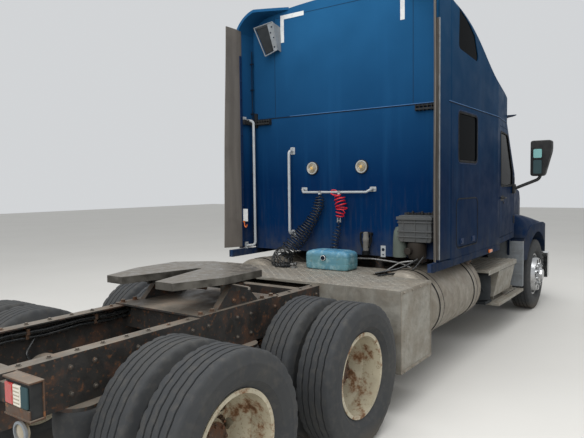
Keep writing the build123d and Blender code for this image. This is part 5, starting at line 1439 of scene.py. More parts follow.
def crown_height(distance):
    """(underside, top) of the fender's crown at a place along the vehicle."""
    share = (distance - CROWN_REAR) / (CROWN_FRONT - CROWN_REAR)
    under = min(1.215, 1.085 + 0.30 * (distance - CROWN_REAR))
    rise = min(1, share / 0.16)
    swell = sqrt(1 - (1 - rise) ** 2) * (1 - share ** 2.2)
    return under, 1.235 + 0.185 * swell - 0.130 * (1 - rise) ** 3


def make_fender_crowns():
    """Rounded crown that swells above each front fender beside the hood."""
    for name, sign in SIDES:
        points = []
        for level in (0, 1):
            for step in range(CROWN_STEPS + 1):
                distance = CROWN_REAR + (CROWN_FRONT - CROWN_REAR) * step / CROWN_STEPS
                under, top = crown_height(distance)
                for place in range(CROWN_ACROSS + 1):
                    t = place / CROWN_ACROSS
                    y = CROWN_INNER + (CROWN_OUTER - CROWN_INNER) * t
                    z = under + (top - under) * sqrt(1 - t ** 3.2) * level
                    points.append((along(distance), sign * y, z))
        crown = Shape().slab(points, CROWN_STEPS + 1, CROWN_ACROSS + 1)
        piece(f"fender_crown_{name}", crown, "cab_paint", "hood", smooth=60)


def widened(corners, middle, edge):
    """Outline with its corners moved outwards from a middle by an edge width."""
    across, height = middle
    return [(a + (edge if a > across else -edge), b + (edge if b > height else -edge)) for a, b in corners]


# half length, inner and outer reach, lower and upper edge of a latch's plate and of its grip
LATCH_BLOCKS = ((0.045, 0, 0.008, -0.028, 0.028), (0.030, 0.006, 0.013, -0.014, 0.012))
KEYHOLE = [(0.012, 0), (0.012, 0.006), (0.009, 0.008)]


def make_side_strips(name, sign):
    """Seals and edge round a side's windows, and the seam round its luggage door."""

    def on_side(distance, z):
        return side_skin(distance, z, sign)

    seal = strip_round(SLEEPER_WINDOW, WINDOW_CORNER, 0.011, on_side)
    piece(f"sleeper_window_seal_{name}", seal, "seal_black")
    around = widened(SLEEPER_WINDOW, (2.9, 2.3), 0.018)
    edge = strip_round(around, WINDOW_CORNER + 0.015, 0.006, on_side)
    piece(f"sleeper_window_edge_{name}", edge, "dark_paint")
    around = widened(LUGGAGE_DOOR, (2.9, 1.4), 0.007)
    seam = strip_round(around, DOOR_CORNER + 0.007, 0.006, on_side)
    piece(f"luggage_seam_{name}", seam, "seal_black")
    seal = strip_round(DOOR_WINDOW, WINDOW_CORNER, 0.012, on_side)
    piece(f"door_window_seal_{name}", seal, "seal_black", f"door_{name}")


def make_side_seam(name, sign):
    """Seam between cab and roof along a side, with a pale strip over it as a painted highlight."""
    route = [side_skin(2.345 + 0.1 * step, SEAM_Z, sign, 0.0005) for step in range(24)]
    piece(f"side_seam_{name}", Shape().tube(route, 0.0045, 6), "seam_black")
    # The pale strip over the seam is a painted highlight
    edge = Shape().tube([point + Vector((0, 0, 0.007)) for point in route], 0.003, 6)
    piece(f"side_seam_highlight_{name}", edge, "edge_paint")


def make_luggage_latches(name, sign):
    """Two latches at the foot of a luggage door."""
    latch = Shape()
    for distance in (2.70, 3.05):
        skin = side_skin(distance, 1.270, sign)
        for half, inner, outer, low, high in LATCH_BLOCKS:
            rear = skin + Vector((-half, sign * inner, low))
            latch.box(rear, skin + Vector((half, sign * outer, high)))
    body = f"luggage_door_{name}"
    piece(f"luggage_latches_{name}", latch, "dark_paint", body, bevel=0.003, slot="black_plastic")


def make_door_handle(name, sign):
    """Plate, grip and keyhole on a door."""
    handle = Shape()
    start = side_skin(4.10, 1.655, sign, 0.004)
    end = side_skin(4.27, 1.655, sign, 0.004)
    handle.box(start + Vector((0, -sign * 0.006, -0.030)), end + Vector((0, sign * 0.004, 0.030)))
    grip = ((4.11, 0.0), (4.12, 0.042), (4.25, 0.042), (4.26, 0.0))
    handle.pipe([side_skin(distance, 1.66, sign, proud) for distance, proud in grip], 0.02, 0.010)
    handle.disc(KEYHOLE, side_skin(4.29, 1.60, sign), (0, sign, 0), 20)
    piece(f"door_handle_{name}", handle, "black_plastic", f"door_{name}", bevel=0.002)


def make_skirt_trim(name, sign):
    """Amber marker lamp on a skirt, and the gap at its rear end."""
    marker = Shape()
    base = Vector((along(3.62), sign * (CAB_HALF + 0.006), 1.083))
    marker.box(base + Vector((-0.055, 0, -0.018)), base + Vector((0.055, sign * 0.018, 0.018)))
    piece(f"skirt_marker_{name}", marker, "amber_lens", bevel=0.006)
    gap = Shape().block((2.448, 2.453), (CAB_HALF + 0.0055, CAB_HALF + 0.0075), (1.056, 1.119), sign)
    piece(f"skirt_gap_{name}", gap, "seam_black")


def make_door_hinges(name, sign):
    """Two hinge barrels along a door's front edge."""
    hinges = Shape()
    for z in (1.36, 1.86):
        ends = [side_skin(4.956, z + half, sign, 0.004) for half in (-0.05, 0.05)]
        hinges.rod(*ends, 0.011, 14)
    piece(f"door_hinges_{name}", hinges, "black_plastic")


def make_side_trim():
    """All trim of the cab's sides, one side after the other."""
    for name, sign in SIDES:
        make_side_strips(name, sign)
        make_side_seam(name, sign)
        make_luggage_latches(name, sign)
        make_door_handle(name, sign)
        make_skirt_trim(name, sign)
        make_door_hinges(name, sign)


FLAP_INNER = 1.132
FLAP_REAR = 1.900
FLAP_FRONT = 2.140
FLAP_LOW = 1.155
FLAP_HIGH = 3.560
FLAP_THICK = 0.010
FLAP_FLARES = {"left": (0.085, 0.005), "right": (0.075, 0.070)}
FLAP_STATIONS = 9
FLAP_ROWS = 25


def make_flaps():
    """Rubber flaps that flare outwards behind the extenders, with a slight wave."""
    for name, sign in SIDES:
        points = []
        flare_low, flare_high = FLAP_FLARES[name]
        for thickness in (0.0, FLAP_THICK):
            for row in range(FLAP_ROWS):
                flare = flare_low + (flare_high - flare_low) * row / (FLAP_ROWS - 1)
                z = FLAP_LOW + (FLAP_HIGH - FLAP_LOW) * row / (FLAP_ROWS - 1)
                for station in range(FLAP_STATIONS):
                    share = station / (FLAP_STATIONS - 1)
                    free = max(0, share - 0.2) / 0.8
                    wave = 0.004 * sin(3.1 * z + 0.7 * sign) * free
                    y = FLAP_INNER + 0.0005 + thickness + flare * free ** 1.5 + wave
                    points.append((along(FLAP_FRONT + (FLAP_REAR - FLAP_FRONT) * share), sign * y, z))
        flap = Shape().slab(points, FLAP_ROWS, FLAP_STATIONS)
        piece(f"rubber_flap_{name}", flap, "rubber", replaces=["extender_flaps"])


EXTENDER_REAR = 2.095
EXTENDER_LOW = 1.150
EXTENDER_HIGH = 3.290
FLAP_BAR_THICK = 0.004


def make_extender_trim():
    """Bright lips and rubber covers on the extenders' rear edges, and the bolted bars along the flaps."""
    rear = EXTENDER_REAR
    tall = (EXTENDER_LOW, EXTENDER_HIGH)
    for name, sign in SIDES:
        lip = Shape()
        lip.block((rear - 0.003, rear), (CAB_HALF - 0.009, CAB_HALF - 0.001), tall, sign)
        lip.block((rear - 0.003, rear + 0.022), (CAB_HALF - 0.004, CAB_HALF + 0.0015), tall, sign)
        piece(f"extender_lip_{name}", lip, "bare_steel", bevel=0.0008)
        cover = Shape().block((rear - 0.004, rear), (EXTENDER_INNER + 0.001, CAB_HALF - 0.0095), tall, sign)
        piece(f"extender_edge_cover_{name}", cover, "rubber", bevel=0.001)
        bar = Shape()
        inner = FLAP_INNER - FLAP_BAR_THICK
        bar.block((rear + 0.006, rear + 0.044), (FLAP_INNER, inner), (tall[0] + 0.01, tall[1] - 0.01), sign)
        for step in range(11):
            z = EXTENDER_LOW + 0.07 + 0.198 * step
            bar.bolt((along(rear) + 0.025, sign * inner, z), (0, -sign, 0), 0.014, 0.007)
        piece(f"flap_bar_{name}", bar, "dark_paint", bevel=0.001)


def make_front_trim():
    """Windscreen seal and two wipers with their arms, blades and pivots."""
    piece("windscreen_seal", strip_round(WINDSCREEN, WINDOW_CORNER, 0.014, front_skin), "black_plastic")
    wipers = Shape()
    for sign in (-1, 1):
        pivot = front_skin(sign * 0.12, 1.955, 0.03)
        tip = front_skin(sign * 0.62, 2.12, 0.022)
        arm = [pivot, pivot.lerp(tip, 0.5) + Vector((0.015, 0, 0)), tip]
        wipers.tube(arm, lambda share: 0.010 - 0.004 * share, 8)
        low = front_skin(sign * 0.50, 2.005, 0.012)
        high = front_skin(sign * 0.74, 2.36, 0.012)
        wipers.tube([low, low.lerp(high, 0.5) + Vector((0.006, 0, 0)), high], 0.007, 8)
        foot = front_skin(sign * 0.12, 1.955, 0.004)
        wipers.disc([(0.022, 0), (0.022, 0.02), (0.014, 0.028)], foot, (1, 0, 0.3), 20)
    piece("wipers", wipers, "black_plastic")


MIRROR_GLASS_X = 4.920
MIRROR_DEPTH = 0.120
MIRROR_OUTLINE = ((1.305, 1.920), (1.470, 1.920), (1.555, 2.240), (1.555, 2.370), (1.305, 2.370))
MIRROR_ARM = ((4.890, 1.116, 1.760), (4.960, 1.400, 1.880), (4.975, 1.420, 1.935))
MIRROR_BASE = (4.840, 4.930)
# name, finish, lower and upper edge of the two glasses; the finishes are painted reflections, pale above and
# dark below
MIRROR_GLASSES = (("upper", "mirror", 2.150, 2.262), ("lower", "dark_mirror", 1.950, 2.125))
GLASS_INNER = 1.343
GLASS_OUTER = 1.443
GLASS_RIM = 0.008


def make_mirrors():
    """Two glasses with rims in each tapering mirror head, coloured with painted reflections, and the arm with
    its base on the door.
    """
    for name, sign in SIDES:
        door = f"door_{name}"

        def upright(y, z, distance=MIRROR_GLASS_X, behind=0.0, sign=sign):
            return along(distance) - behind, sign * y, z

        head = Shape()
        head.prism(rounded([upright(y, z) for y, z in MIRROR_OUTLINE], 0.036, 6), (MIRROR_DEPTH, 0, 0))
        head.pipe([upright(y, z, distance) for distance, y, z in MIRROR_ARM], 0.03, 0.020, 16)
        rear, front = [side_skin(distance, 1.76, sign, 0.0003) for distance in MIRROR_BASE]
        far = side_skin(MIRROR_BASE[0], 1.76, sign, 0.032).y
        foot = ((rear.x, rear.y), (front.x, front.y), (front.x, far), (rear.x, far))
        head.prism([(x, y, 1.700) for x, y in foot], (0, 0, 0.120))
        piece(f"mirror_head_{name}", head, "black_plastic", door, bevel=0.010, replaces=[f"mirror_{name}"])
        rim = Shape()
        # Each glass is a flat tinted sheet whose colour is a painted reflection
        for part, finish, low, high in MIRROR_GLASSES:
            corners = ((GLASS_INNER, low), (GLASS_OUTER, low), (GLASS_OUTER, high), (GLASS_INNER, high))
            outline = rounded([upright(y, z, behind=0.001) for y, z in corners], 0.018)
            glass = Shape().prism(outline, (-0.004, 0, 0))
            piece(f"{part}_mirror_glass_{name}", glass, finish, door)
            corners = widened(corners, (1.4, (low + high) / 2), GLASS_RIM)
            outline = rounded([upright(y, z, behind=0.003) for y, z in corners], 0.024)
            rim.tube(outline + outline[:2], 0.006, 8)
        piece(f"mirror_rim_{name}", rim, "black_plastic", door)


def roof_point(distance, y):
    """Point of the roof's skin below a place, found on the solid."""
    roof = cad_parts["roof_shell"]
    to_own = roof.matrix_world.inverted()
    start = to_own @ Vector((along(distance), y, 6))
    down = to_own.to_3x3() @ Vector((0, 0, -1))
    hit, place, normal, index = roof.ray_cast(start, down.normalized())
    return roof.matrix_world @ place if hit else None


MARKER = [(0.034, -0.004), (0.034, 0.010), (0.028, 0.022), (0.014, 0.030), (0.004, 0.032)]


def make_roof_markers():
    """Five clearance lamps over the visor."""
    lamps = Shape()
    for y in (-0.62, -0.18, 0.0, 0.18, 0.62):
        spot = roof_point(4.52, y)
        if spot:
            lamps.disc(MARKER, spot, (0.35, 0, 1), 24)
    piece("roof_markers", lamps, "amber_lens")


# Chassis
def make_chassis_bolts():
    """Bolt rows on the rails' webs and flanges and on the end plate."""
    bolts = Shape()
    for sign in (-1, 1):
        for step in range(56):
            distance = -1.40 + 0.145 * step
            for z in (0.775, 0.915):
                if step % 3 != 1:
                    bolts.bolt((along(distance), sign * RAIL_HALF, z), (0, sign, 0), 0.018, 0.009)
        for step in range(22):
            distance = -1.36 + 0.16 * step
            bolts.bolt((along(distance), sign * (RAIL_HALF - 0.045), RAIL_TOP), UPWARD, 0.018, 0.009)
    for y in (-0.37, -0.18, 0.18, 0.37):
        for z in (0.76, 0.91):
            bolts.bolt((along(RAIL_END), y, z), FORWARD, 0.026, 0.014)
    piece("chassis_bolts", bolts, "cast")


BELLOWS = [
    (0.085, 0.0), (0.098, 0.012), (0.100, 0.075), (0.122, 0.090), (0.134, 0.125), (0.136, 0.190),
    (0.132, 0.245), (0.118, 0.268), (0.100, 0.276),
]
BRAKE_CAN = [
    (0.040, -0.120), (0.070, -0.112), (0.078, -0.090), (0.078, -0.012), (0.080, 0.010), (0.080, 0.080),
    (0.072, 0.108), (0.050, 0.122), (0.020, 0.128),
]


def make_air_springs():
    """Rolling-lobe bellows over the plain air springs, with their top and bottom plates."""
    bellows = Shape()
    plates = Shape()
    for axle_x in AXLES.values():
        for sign in (-1, 1):
            centre = (axle_x - 0.380, sign * 0.388, 0.425)
            bellows.disc(BELLOWS, centre, UPWARD, 48)
            plates.disc([(0.112, 0.274), (0.112, 0.284)], centre, UPWARD, 32)
            plates.disc([(0.104, -0.006), (0.104, 0.004)], centre, UPWARD, 32)
    piece("air_spring_bellows", bellows, "tyre")
    piece("air_spring_plates", plates, "rusty_steel", slot="black_steel")


def make_brake_chambers():
    """Spring brake chambers on the drive axles, with clamp rings, push rods and hoses."""
    cans = Shape()
    rings = Shape()
    hoses = Shape()
    for x in AXLES.values():
        for sign in (-1, 1):
            centre = (x - 0.150, sign * 0.300, 0.660)
            axis = (-0.25, 0, 0.97)
            cans.disc(BRAKE_CAN, centre, axis, 36)
            for offset in (-0.016, 0.006):
                rings.lathe(band(0.078, 0.088, offset, offset + 0.012), centre, axis, 36)
            rings.rod((x - 0.13, sign * 0.300, 0.560), (x - 0.10, sign * 0.300, 0.500), 0.012, 12)
            rings.box((x - 0.11, sign * 0.27, 0.555), (x - 0.04, sign * 0.33, 0.575))
            start = Vector((x - 0.19, sign * 0.33, 0.70))
            above = start + Vector((-0.06, sign * 0.03, 0.10))
            over = start + Vector((0.05, sign * 0.075, 0.20))
            hoses.pipe([start, above, over, (x + 0.22, sign * 0.405, 0.90)], 0.04, 0.0085, 10)
    piece("brake_chambers", cans, "black_steel")
    piece("brake_clamps", rings, "rusty_steel")
    piece("brake_hoses", hoses, "black_hose")


# side, height and radius of each line along the rails
LOOM_LINES = ((1, 0.935, 0.016), (1, 0.900, 0.010), (-1, 0.930, 0.011), (-1, 0.905, 0.008))
LOOM_REAR = -1.38
CLIP_SPACING = 0.5


def make_loom():
    """Cable loom and air pipes along the inside of the rails, held by clips."""
    loom = Shape()
    clips = Shape()
    for sign, z, size in LOOM_LINES:
        route = []
        for step in range(29):
            distance = LOOM_REAR + 0.125 * step
            sag = 0.006 * (1 - cos(2 * pi * distance / CLIP_SPACING))
            route.append(Vector((along(distance), sign * (RAIL_HALF - 0.035 - size), z - sag)))
        loom.tube(route, size, 10)
        across = (RAIL_HALF - 0.009, RAIL_HALF - 0.040 - 2 * size)
        for step in range(8):
            place = LOOM_REAR + CLIP_SPACING * step
            clips.block((place - 0.010, place + 0.010), across, (z - size - 0.004, z + size + 0.004), sign)
    piece("rail_loom", loom, "black_hose")
    piece("rail_clips", clips, "rusty_steel", bevel=0.002)


JAW_INNER = 0.0262
JAW_OUTER = 0.046
JAW_STEPS = 20


def make_coupling_detail():
    """Jaw round the coupling's seat, ribs below the plate with the release handle, and the base's bolts."""
    x = along(COUPLING_X)
    top = COUPLING_TOP
    body = "fifth_wheel_plate"
    angles = [pi * index / JAW_STEPS for index in range(JAW_STEPS + 1)]
    outline = [(JAW_INNER, -pi / 2 + angle) for angle in angles]
    outline += [(JAW_OUTER, pi / 2 - angle) for angle in angles]
    corners = [(x + radius * cos(angle), radius * sin(angle), top - 0.0015) for radius, angle in outline]
    piece("coupling_jaw", Shape().prism(corners, (0, 0, 0.0025)), "greasy_steel", body)
    ribs = Shape()
    for sign in (-1, 1):
        ribs.box((x - 0.30, sign * 0.205, top - 0.090), (x + 0.30, sign * 0.220, top - 0.0505))
        for place in (-0.26, -0.10, 0.12, 0.27):
            rear = (x + place - 0.007, sign * 0.10, top - 0.085)
            ribs.box(rear, (x + place + 0.007, sign * 0.34, top - 0.0505))
    handle = ((0.10, -0.20, 0.064), (-0.10, -0.34, 0.064), (-0.14, -0.62, 0.066), (-0.20, -0.66, 0.070))
    ribs.pipe([(x + ahead, y, top - drop) for ahead, y, drop in handle], 0.03, 0.009, 10)
    piece("coupling_ribs", ribs, "black_steel", body, bevel=0.002)
    bolts = Shape()
    for sign in (-1, 1):
        for place in (-0.38, -0.27, 0.27, 0.38):
            bolts.bolt((x + place, sign * 0.395, RAIL_TOP + 0.012), UPWARD, 0.030, 0.018)
        for place in (-0.05, 0.05):
            bolts.bolt((x + place, sign * 0.3955, 1.030), (0, sign, 0), 0.022, 0.012)
    piece("coupling_bolts", bolts, "rusty_steel")


LOZENGE = 0.013
LOZENGE_WIDTH = 0.28
LOZENGE_HEIGHT = 0.0018
LOZENGE_TOP = 0.55


def lozenge(shape, centre, along_axis, across_axis, up_axis, turn):
    """One raised bar of the chequer pattern."""
    ahead = (along_axis * cos(turn) + across_axis * sin(turn)) * LOZENGE
    side = (along_axis * -sin(turn) + across_axis * cos(turn)) * (LOZENGE * LOZENGE_WIDTH)
    low = [centre + ahead, centre + side, centre - ahead, centre - side]
    high = [centre + (point - centre) * LOZENGE_TOP + up_axis * LOZENGE_HEIGHT for point in low]
    shape.add(low + high, [(4, 5, 6, 7), (0, 1, 5, 4), (1, 2, 6, 5), (2, 3, 7, 6), (3, 0, 4, 7)])


def chequer(shape, corner, first, second, up, pitch):
    """Chequer pattern over a rectangle given by a corner and its two sides."""
    first = Vector(first)
    second = Vector(second)
    up = Vector(up)
    corner = Vector(corner)
    columns = int(first.length / pitch)
    rows = int(second.length / pitch)
    for column in range(columns):
        for row in range(rows):
            u = (column + 0.5) / columns
            v = (row + 0.5) / rows
            centre = corner + first * u + second * v + up * 0.0002
            turn = pi / 4 if (column + row) % 2 else -pi / 4
            lozenge(shape, centre, first.normalized(), second.normalized(), up, turn)


STEP_REAR = 3.600
STEP_FRONT = 4.800
STEP_INNER = 0.640
STEP_OUTER = 1.180
STEP_TOP = 0.860
STEP_LIP = 0.030
STEP_LOW = 0.480
STEP_RECESS = 4.080
TREAD_FRONT = 5.180
TREAD_TOP = 0.420
TREAD_LOW = 0.385
DRUM = [(0.10, 0), (0.135, 0.02), (0.14, 0.10), (0.14, 0.27), (0.12, 0.32), (0.05, 0.335)]


def make_step_box(name, sign):
    """Step box with a recess beside the tank, a leaning face, a ribbed top and a ribbed lower tread."""
    box = Shape()
    upper = STEP_TOP - STEP_LIP
    whole = (STEP_REAR, STEP_FRONT)
    box.block(whole, (STEP_INNER, STEP_OUTER), (upper, STEP_TOP), sign)
    box.block(whole, (STEP_OUTER - 0.006, STEP_OUTER), (STEP_TOP - 0.055, upper), sign)
    foot, head = STEP_OUTER - 0.085, STEP_OUTER - 0.014
    section = ((STEP_INNER, STEP_LOW), (foot, STEP_LOW), (head, upper), (STEP_INNER, upper))
    box.prism([(along(STEP_RECESS), sign * y, z) for y, z in section], (STEP_FRONT - STEP_RECESS, 0, 0))
    box.block((STEP_RECESS - 0.06, TREAD_FRONT), (0.72, STEP_OUTER), (TREAD_LOW, TREAD_TOP), sign)
    for place in (4.20, 4.62, 5.04):
        top = 0.490 if place < STEP_FRONT else TREAD_TOP + 0.05
        box.block((place, place + 0.03), (0.74, 1.06), (TREAD_TOP - 0.002, top), sign)
    for place in (3.950, 4.600):
        box.block((place, place + 0.130), (RAIL_HALF, STEP_INNER + 0.02), (0.500, STEP_TOP - 0.02), sign)
    piece(f"step_box_{name}", box, "tread_plate", bevel=0.003, replaces=["step_boxes"])
    ribs = Shape()
    length = (STEP_REAR + 0.02, STEP_FRONT - 0.02)
    for rib in range(9):
        y = STEP_INNER + 0.030 + 0.058 * rib
        ribs.block(length, (y, y + 0.022), (STEP_TOP - 0.001, STEP_TOP + 0.005), sign)
    length = (STEP_RECESS, TREAD_FRONT - 0.02)
    for rib in range(8):
        y = 0.755 + 0.052 * rib
        ribs.block(length, (y, y + 0.020), (TREAD_TOP - 0.001, TREAD_TOP + 0.005), sign)
    piece(f"step_ribs_{name}", ribs, "tread_plate", bevel=0.001)
    slots = Shape()
    for slot in range(5):
        place = 4.62 + 0.10 * slot
        slots.block((place, place + 0.045), (1.085, 1.105), (TREAD_TOP, TREAD_TOP + 0.0015), sign)
    under_lip = (STEP_TOP - 0.060, STEP_TOP - 0.055)
    slots.block((STEP_RECESS + 0.01, STEP_FRONT - 0.01), (1.163, 1.1745), under_lip, sign)
    piece(f"step_slots_{name}", slots, "shadow_grey")
    recess = Shape()
    recess.block((STEP_REAR + 0.02, STEP_RECESS), (STEP_INNER, STEP_INNER + 0.02), (0.430, upper), sign)
    recess.disc(DRUM, (along(3.86), sign * 0.98, 0.470), UPWARD, 36)
    recess.block((3.74, 3.98), (STEP_INNER, 1.10), (0.440, 0.475), sign)
    hose = ((3.66, 0.92, 0.83), (3.68, 1.04, 0.72), (3.72, 1.08, 0.60))
    recess.tube([(along(place), sign * y, z) for place, y, z in hose], 0.012, 8)
    piece(f"step_recess_{name}", recess, "shadow_grey", bevel=0.002)


BOX_REAR = 1.262
BOX_FRONT = 1.890
BOX_LOW = 0.36
BOX_EDGES = (0.352, 0.982)
DECK_FRONT = 2.310
DECK_NARROW = 0.59
DECK_PITCH = 0.045
BOX_PITCH = 0.040


def make_box_edges(name, sign):
    """Edge strips with bolts round a side box's outer face."""
    trim = Shape()
    for z in BOX_EDGES:
        trim.block((BOX_REAR, BOX_FRONT), (SKIRT_HALF, SKIRT_HALF + 0.005), (z - 0.012, z + 0.012), sign)
    for place in (BOX_REAR + 0.012, BOX_FRONT - 0.012):
        trim.block((place - 0.010, place + 0.010), (SKIRT_HALF, SKIRT_HALF + 0.004), (BOX_LOW, 0.975), sign)
    for place in (1.32, 1.48, 1.64, 1.80):
        for z in BOX_EDGES:
            trim.bolt((along(place), sign * (SKIRT_HALF + 0.005), z), (0, sign, 0), 0.014, 0.006)
    piece(f"box_edges_{name}", trim, "tank_alloy", bevel=0.002, slot="tread_plate")


def make_splash_panel(name, sign):
    """Ribbed panel between the step box and the front wheel."""
    panel = Shape()
    panel.block((5.188, 5.196), (0.700, 1.165), (0.440, 1.050), sign)
    panel.block((5.196, 5.240), (1.157, 1.165), (0.440, 1.050), sign)
    for z in (0.60, 0.75, 0.90):
        panel.block((5.184, 5.190), (0.720, 1.150), (z - 0.010, z + 0.010), sign)
    piece(f"splash_panel_{name}", panel, "sheet_grey", bevel=0.002)


def make_tread_plate():
    """Raised chequer pattern on the deck and the side boxes, with the plates and steps beside them."""
    deck = Shape()
    rear = along(BOX_REAR + 0.01)
    length = (BOX_FRONT - BOX_REAR - 0.02, 0, 0)
    wide = (0, 2 * SKIRT_HALF - 0.02, 0)
    chequer(deck, (rear, -SKIRT_HALF + 0.01, DECK_TOP), length, wide, UPWARD, DECK_PITCH)
    corner = (along(BOX_FRONT + 0.01), -DECK_NARROW, DECK_TOP)
    chequer(deck, corner, (DECK_FRONT - BOX_FRONT - 0.02, 0, 0), (0, 2 * DECK_NARROW, 0), UPWARD, DECK_PITCH)
    piece("deck_pattern", deck, "tread_plate")
    for name, sign in SIDES:
        panel = Shape()
        chequer(panel, (rear, sign * SKIRT_HALF, BOX_LOW), length, (0, 0, 0.63), (0, sign, 0), BOX_PITCH)
        piece(f"box_pattern_{name}", panel, "tread_plate")
        make_step_box(name, sign)
        make_box_edges(name, sign)
        make_splash_panel(name, sign)


TANK_REAR = 1.940
TANK_FRONT = 3.360
TANK_MIDDLE = 2.640
STRAPS = (2.150, 3.120)
WELD = (
    (TANK_RADIUS - 0.002, -0.007), (TANK_RADIUS + 0.0025, -0.004), (TANK_RADIUS + 0.0035, 0),
    (TANK_RADIUS + 0.0025, 0.004), (TANK_RADIUS - 0.002, 0.007),
)
FILLER_PLACE = 3.245
FILLER_LEAN = radians(60)
FILLER = (
    (0.062, 0), (0.062, 0.010), (0.052, 0.014), (0.052, 0.034), (0.060, 0.036), (0.062, 0.050),
    (0.052, 0.058), (0.02, 0.060),
)


def make_filler(name, sign):
    """Filler cap with grips round its edge, leaning outwards on the tank."""
    axis = Vector((0, sign * cos(FILLER_LEAN), sin(FILLER_LEAN)))
    place = Vector((along(FILLER_PLACE), sign * TANK_HALF, TANK_Z)) + axis * (TANK_RADIUS - 0.004)
    filler = Shape().disc(FILLER, place, axis, 36)
    side = axis.orthogonal().normalized()
    other = axis.cross(side)
    for step in range(12):
        turn = 2 * pi * step / 12
        base = place + axis * 0.037 + (side * cos(turn) + other * sin(turn)) * 0.060
        filler.rod(base, base + axis * 0.012, 0.006, 8)
    piece(f"tank_cap_{name}", filler, "cast", bevel=0.001)


def make_tank_trim():
    """Weld beads, rubber beside the straps, filler caps and strap bolts."""
    for name, sign in SIDES:
        centre_y = sign * TANK_HALF
        beads = Shape()
        for distance in (TANK_REAR + 0.075, TANK_FRONT - 0.075, TANK_MIDDLE):
            beads.lathe(WELD, (along(distance), centre_y, TANK_Z), FORWARD, 72)
        piece(f"tank_welds_{name}", beads, "tank_alloy")
        rubber = Shape()
        for distance in STRAPS:
            for edge in (-0.054, 0.040):
                profile = band(TANK_RADIUS + 0.0005, TANK_RADIUS + 0.006, edge, edge + 0.014)
                rubber.lathe(profile, (along(distance), centre_y, TANK_Z), FORWARD, 72)
        piece(f"strap_rubber_{name}", rubber, "seal_black")
        make_filler(name, sign)
        bolts = Shape()
        for distance in STRAPS:
            x = along(distance)
            y = centre_y - sign * 0.20
            for height in (1, -1):
                z = TANK_Z + height * 0.262
                bolts.rod((x, y, z - height * 0.05), (x, y, z + height * 0.05), 0.008, 10)
                bolts.bolt((x, y, z + height * 0.012), (0, 0, height), 0.022, 0.014)
        piece(f"strap_bolts_{name}", bolts, "rusty_steel")


# name, finish, inner and outer edge of the three lenses in a tail lamp
TAIL_LENSES = (
    ("red", "red_lens", 0.508, 0.572),
    ("clear", "lamp_lens", 0.575, 0.636),
    ("outer", "dark_mirror", 0.639, 0.690),
)
ROUND_LAMP = (0.605, 0.750)


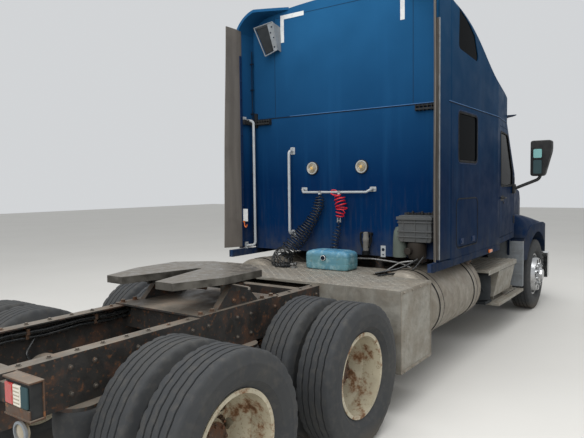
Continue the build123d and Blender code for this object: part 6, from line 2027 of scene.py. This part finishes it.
def make_tail_lamps():
    """Tail lamps in rusty brackets: three lenses, ribs on the clear one, an apron and a round lamp below."""
    for name, sign in SIDES:
        inner, outer = 0.500, 0.700
        edges = (inner - 0.010, outer + 0.010)
        face = RAIL_END
        bracket = Shape()
        bracket.block((face + 0.055, face + 0.062), (inner - 0.03, outer + 0.01), (0.815, 0.995), sign)
        bracket.block((face - 0.012, face + 0.058), edges, (0.985, 0.994), sign)
        bracket.block((face - 0.010, face + 0.058), edges, (0.816, 0.825), sign)
        piece(f"tail_lamp_bracket_{name}", bracket, "rusty_steel", bevel=0.002, slot="black_steel")
        for part, finish, near, far in TAIL_LENSES:
            lens = Shape().block((face - 0.014, face - 0.0005), (near, far), (0.872, 0.970), sign)
            piece(f"tail_lamp_{part}_{name}", lens, finish, bevel=0.005, slot="lamp_lens")
        ribs = Shape()
        for step in range(5):
            z = 0.886 + 0.017 * step
            ribs.block((face - 0.0155, face - 0.013), (0.581, 0.630), (z, z + 0.005), sign)
        piece(f"tail_lamp_ribs_{name}", ribs, "work_lens")
        apron = Shape()
        apron.block((face - 0.008, face - 0.0005), (inner, outer), (0.826, 0.866), sign)
        apron.block((face + 0.004, face + 0.012), (0.585, 0.625), (0.800, 0.826), sign)
        piece(f"tail_lamp_apron_{name}", apron, "rusty_steel", bevel=0.001, slot="black_steel")
        centre = (along(face) + 0.004, sign * ROUND_LAMP[0], ROUND_LAMP[1])
        profile = [(0.040, -0.004), (0.052, -0.002), (0.052, 0.010), (0.040, 0.012)]
        piece(f"round_lamp_ring_{name}", Shape().lathe(profile, centre, REARWARD, 40), "sheet_grey")
        profile = [(0.040, -0.020), (0.040, 0.002), (0.030, 0.007), (0.010, 0.010)]
        piece(f"round_lamp_lens_{name}", Shape().disc(profile, centre, REARWARD, 36), "work_lens")


GRILLE_BACK = 7.090 - 0.050
MESH_HALF = 0.0025


def make_front_detail():
    """Mesh behind the grille bars, fog lamps with rims and a blank plate on the bumper."""
    mesh = Shape()
    depth = (GRILLE_BACK - 0.003, GRILLE_BACK)
    for step in range(28):
        y = -0.40 + 0.8 * step / 27
        mesh.block(depth, (y - MESH_HALF, y + MESH_HALF), (0.945, 1.305))
    for step in range(14):
        z = 0.95 + 0.35 * step / 13
        mesh.block(depth, (-0.41, 0.41), (z - MESH_HALF, z + MESH_HALF))
    piece("grille_mesh", mesh, "black_plastic", "hood")
    lamps = Shape()
    rims = Shape()
    for sign in (-1, 1):
        centre = (along(7.176), sign * 0.62, 0.50)
        axis = (1, sign * 0.28, 0)
        lamps.disc([(0.055, -0.004), (0.052, 0.006), (0.035, 0.012), (0.01, 0.014)], centre, axis, 32)
        rims.lathe([(0.054, -0.010), (0.066, -0.006), (0.064, 0.008), (0.054, 0.008)], centre, axis, 36)
    piece("fog_lamps", lamps, "lamp_lens")
    piece("fog_lamp_rims", rims, "black_plastic")
    plate = Shape().block((7.214, 7.2195), (-0.26, 0.26), (0.48, 0.60))
    piece("blank_plate", plate, "white_tape", bevel=0.003)


make_camera()
make_cords()
make_stage()
dress_solids()
make_tyres()
make_wheel_fittings()
make_wall_panels()
make_work_lamps()
make_handle_feet()
make_hose_clamps()
make_hose_tail()
make_hose_ends()
make_seam_brackets()
make_wall_cable()
make_label()
make_small_plate()
make_low_lines()
make_valve_housing()
make_filter()
make_lamp_bracket()
make_canister()
make_side_trim()
make_fender_crowns()
make_flaps()
make_extender_trim()
make_front_trim()
make_mirrors()
make_roof_markers()
make_chassis_bolts()
make_air_springs()
make_brake_chambers()
make_loom()
make_coupling_detail()
make_tread_plate()
make_tank_trim()
make_tail_lamps()
make_front_detail()
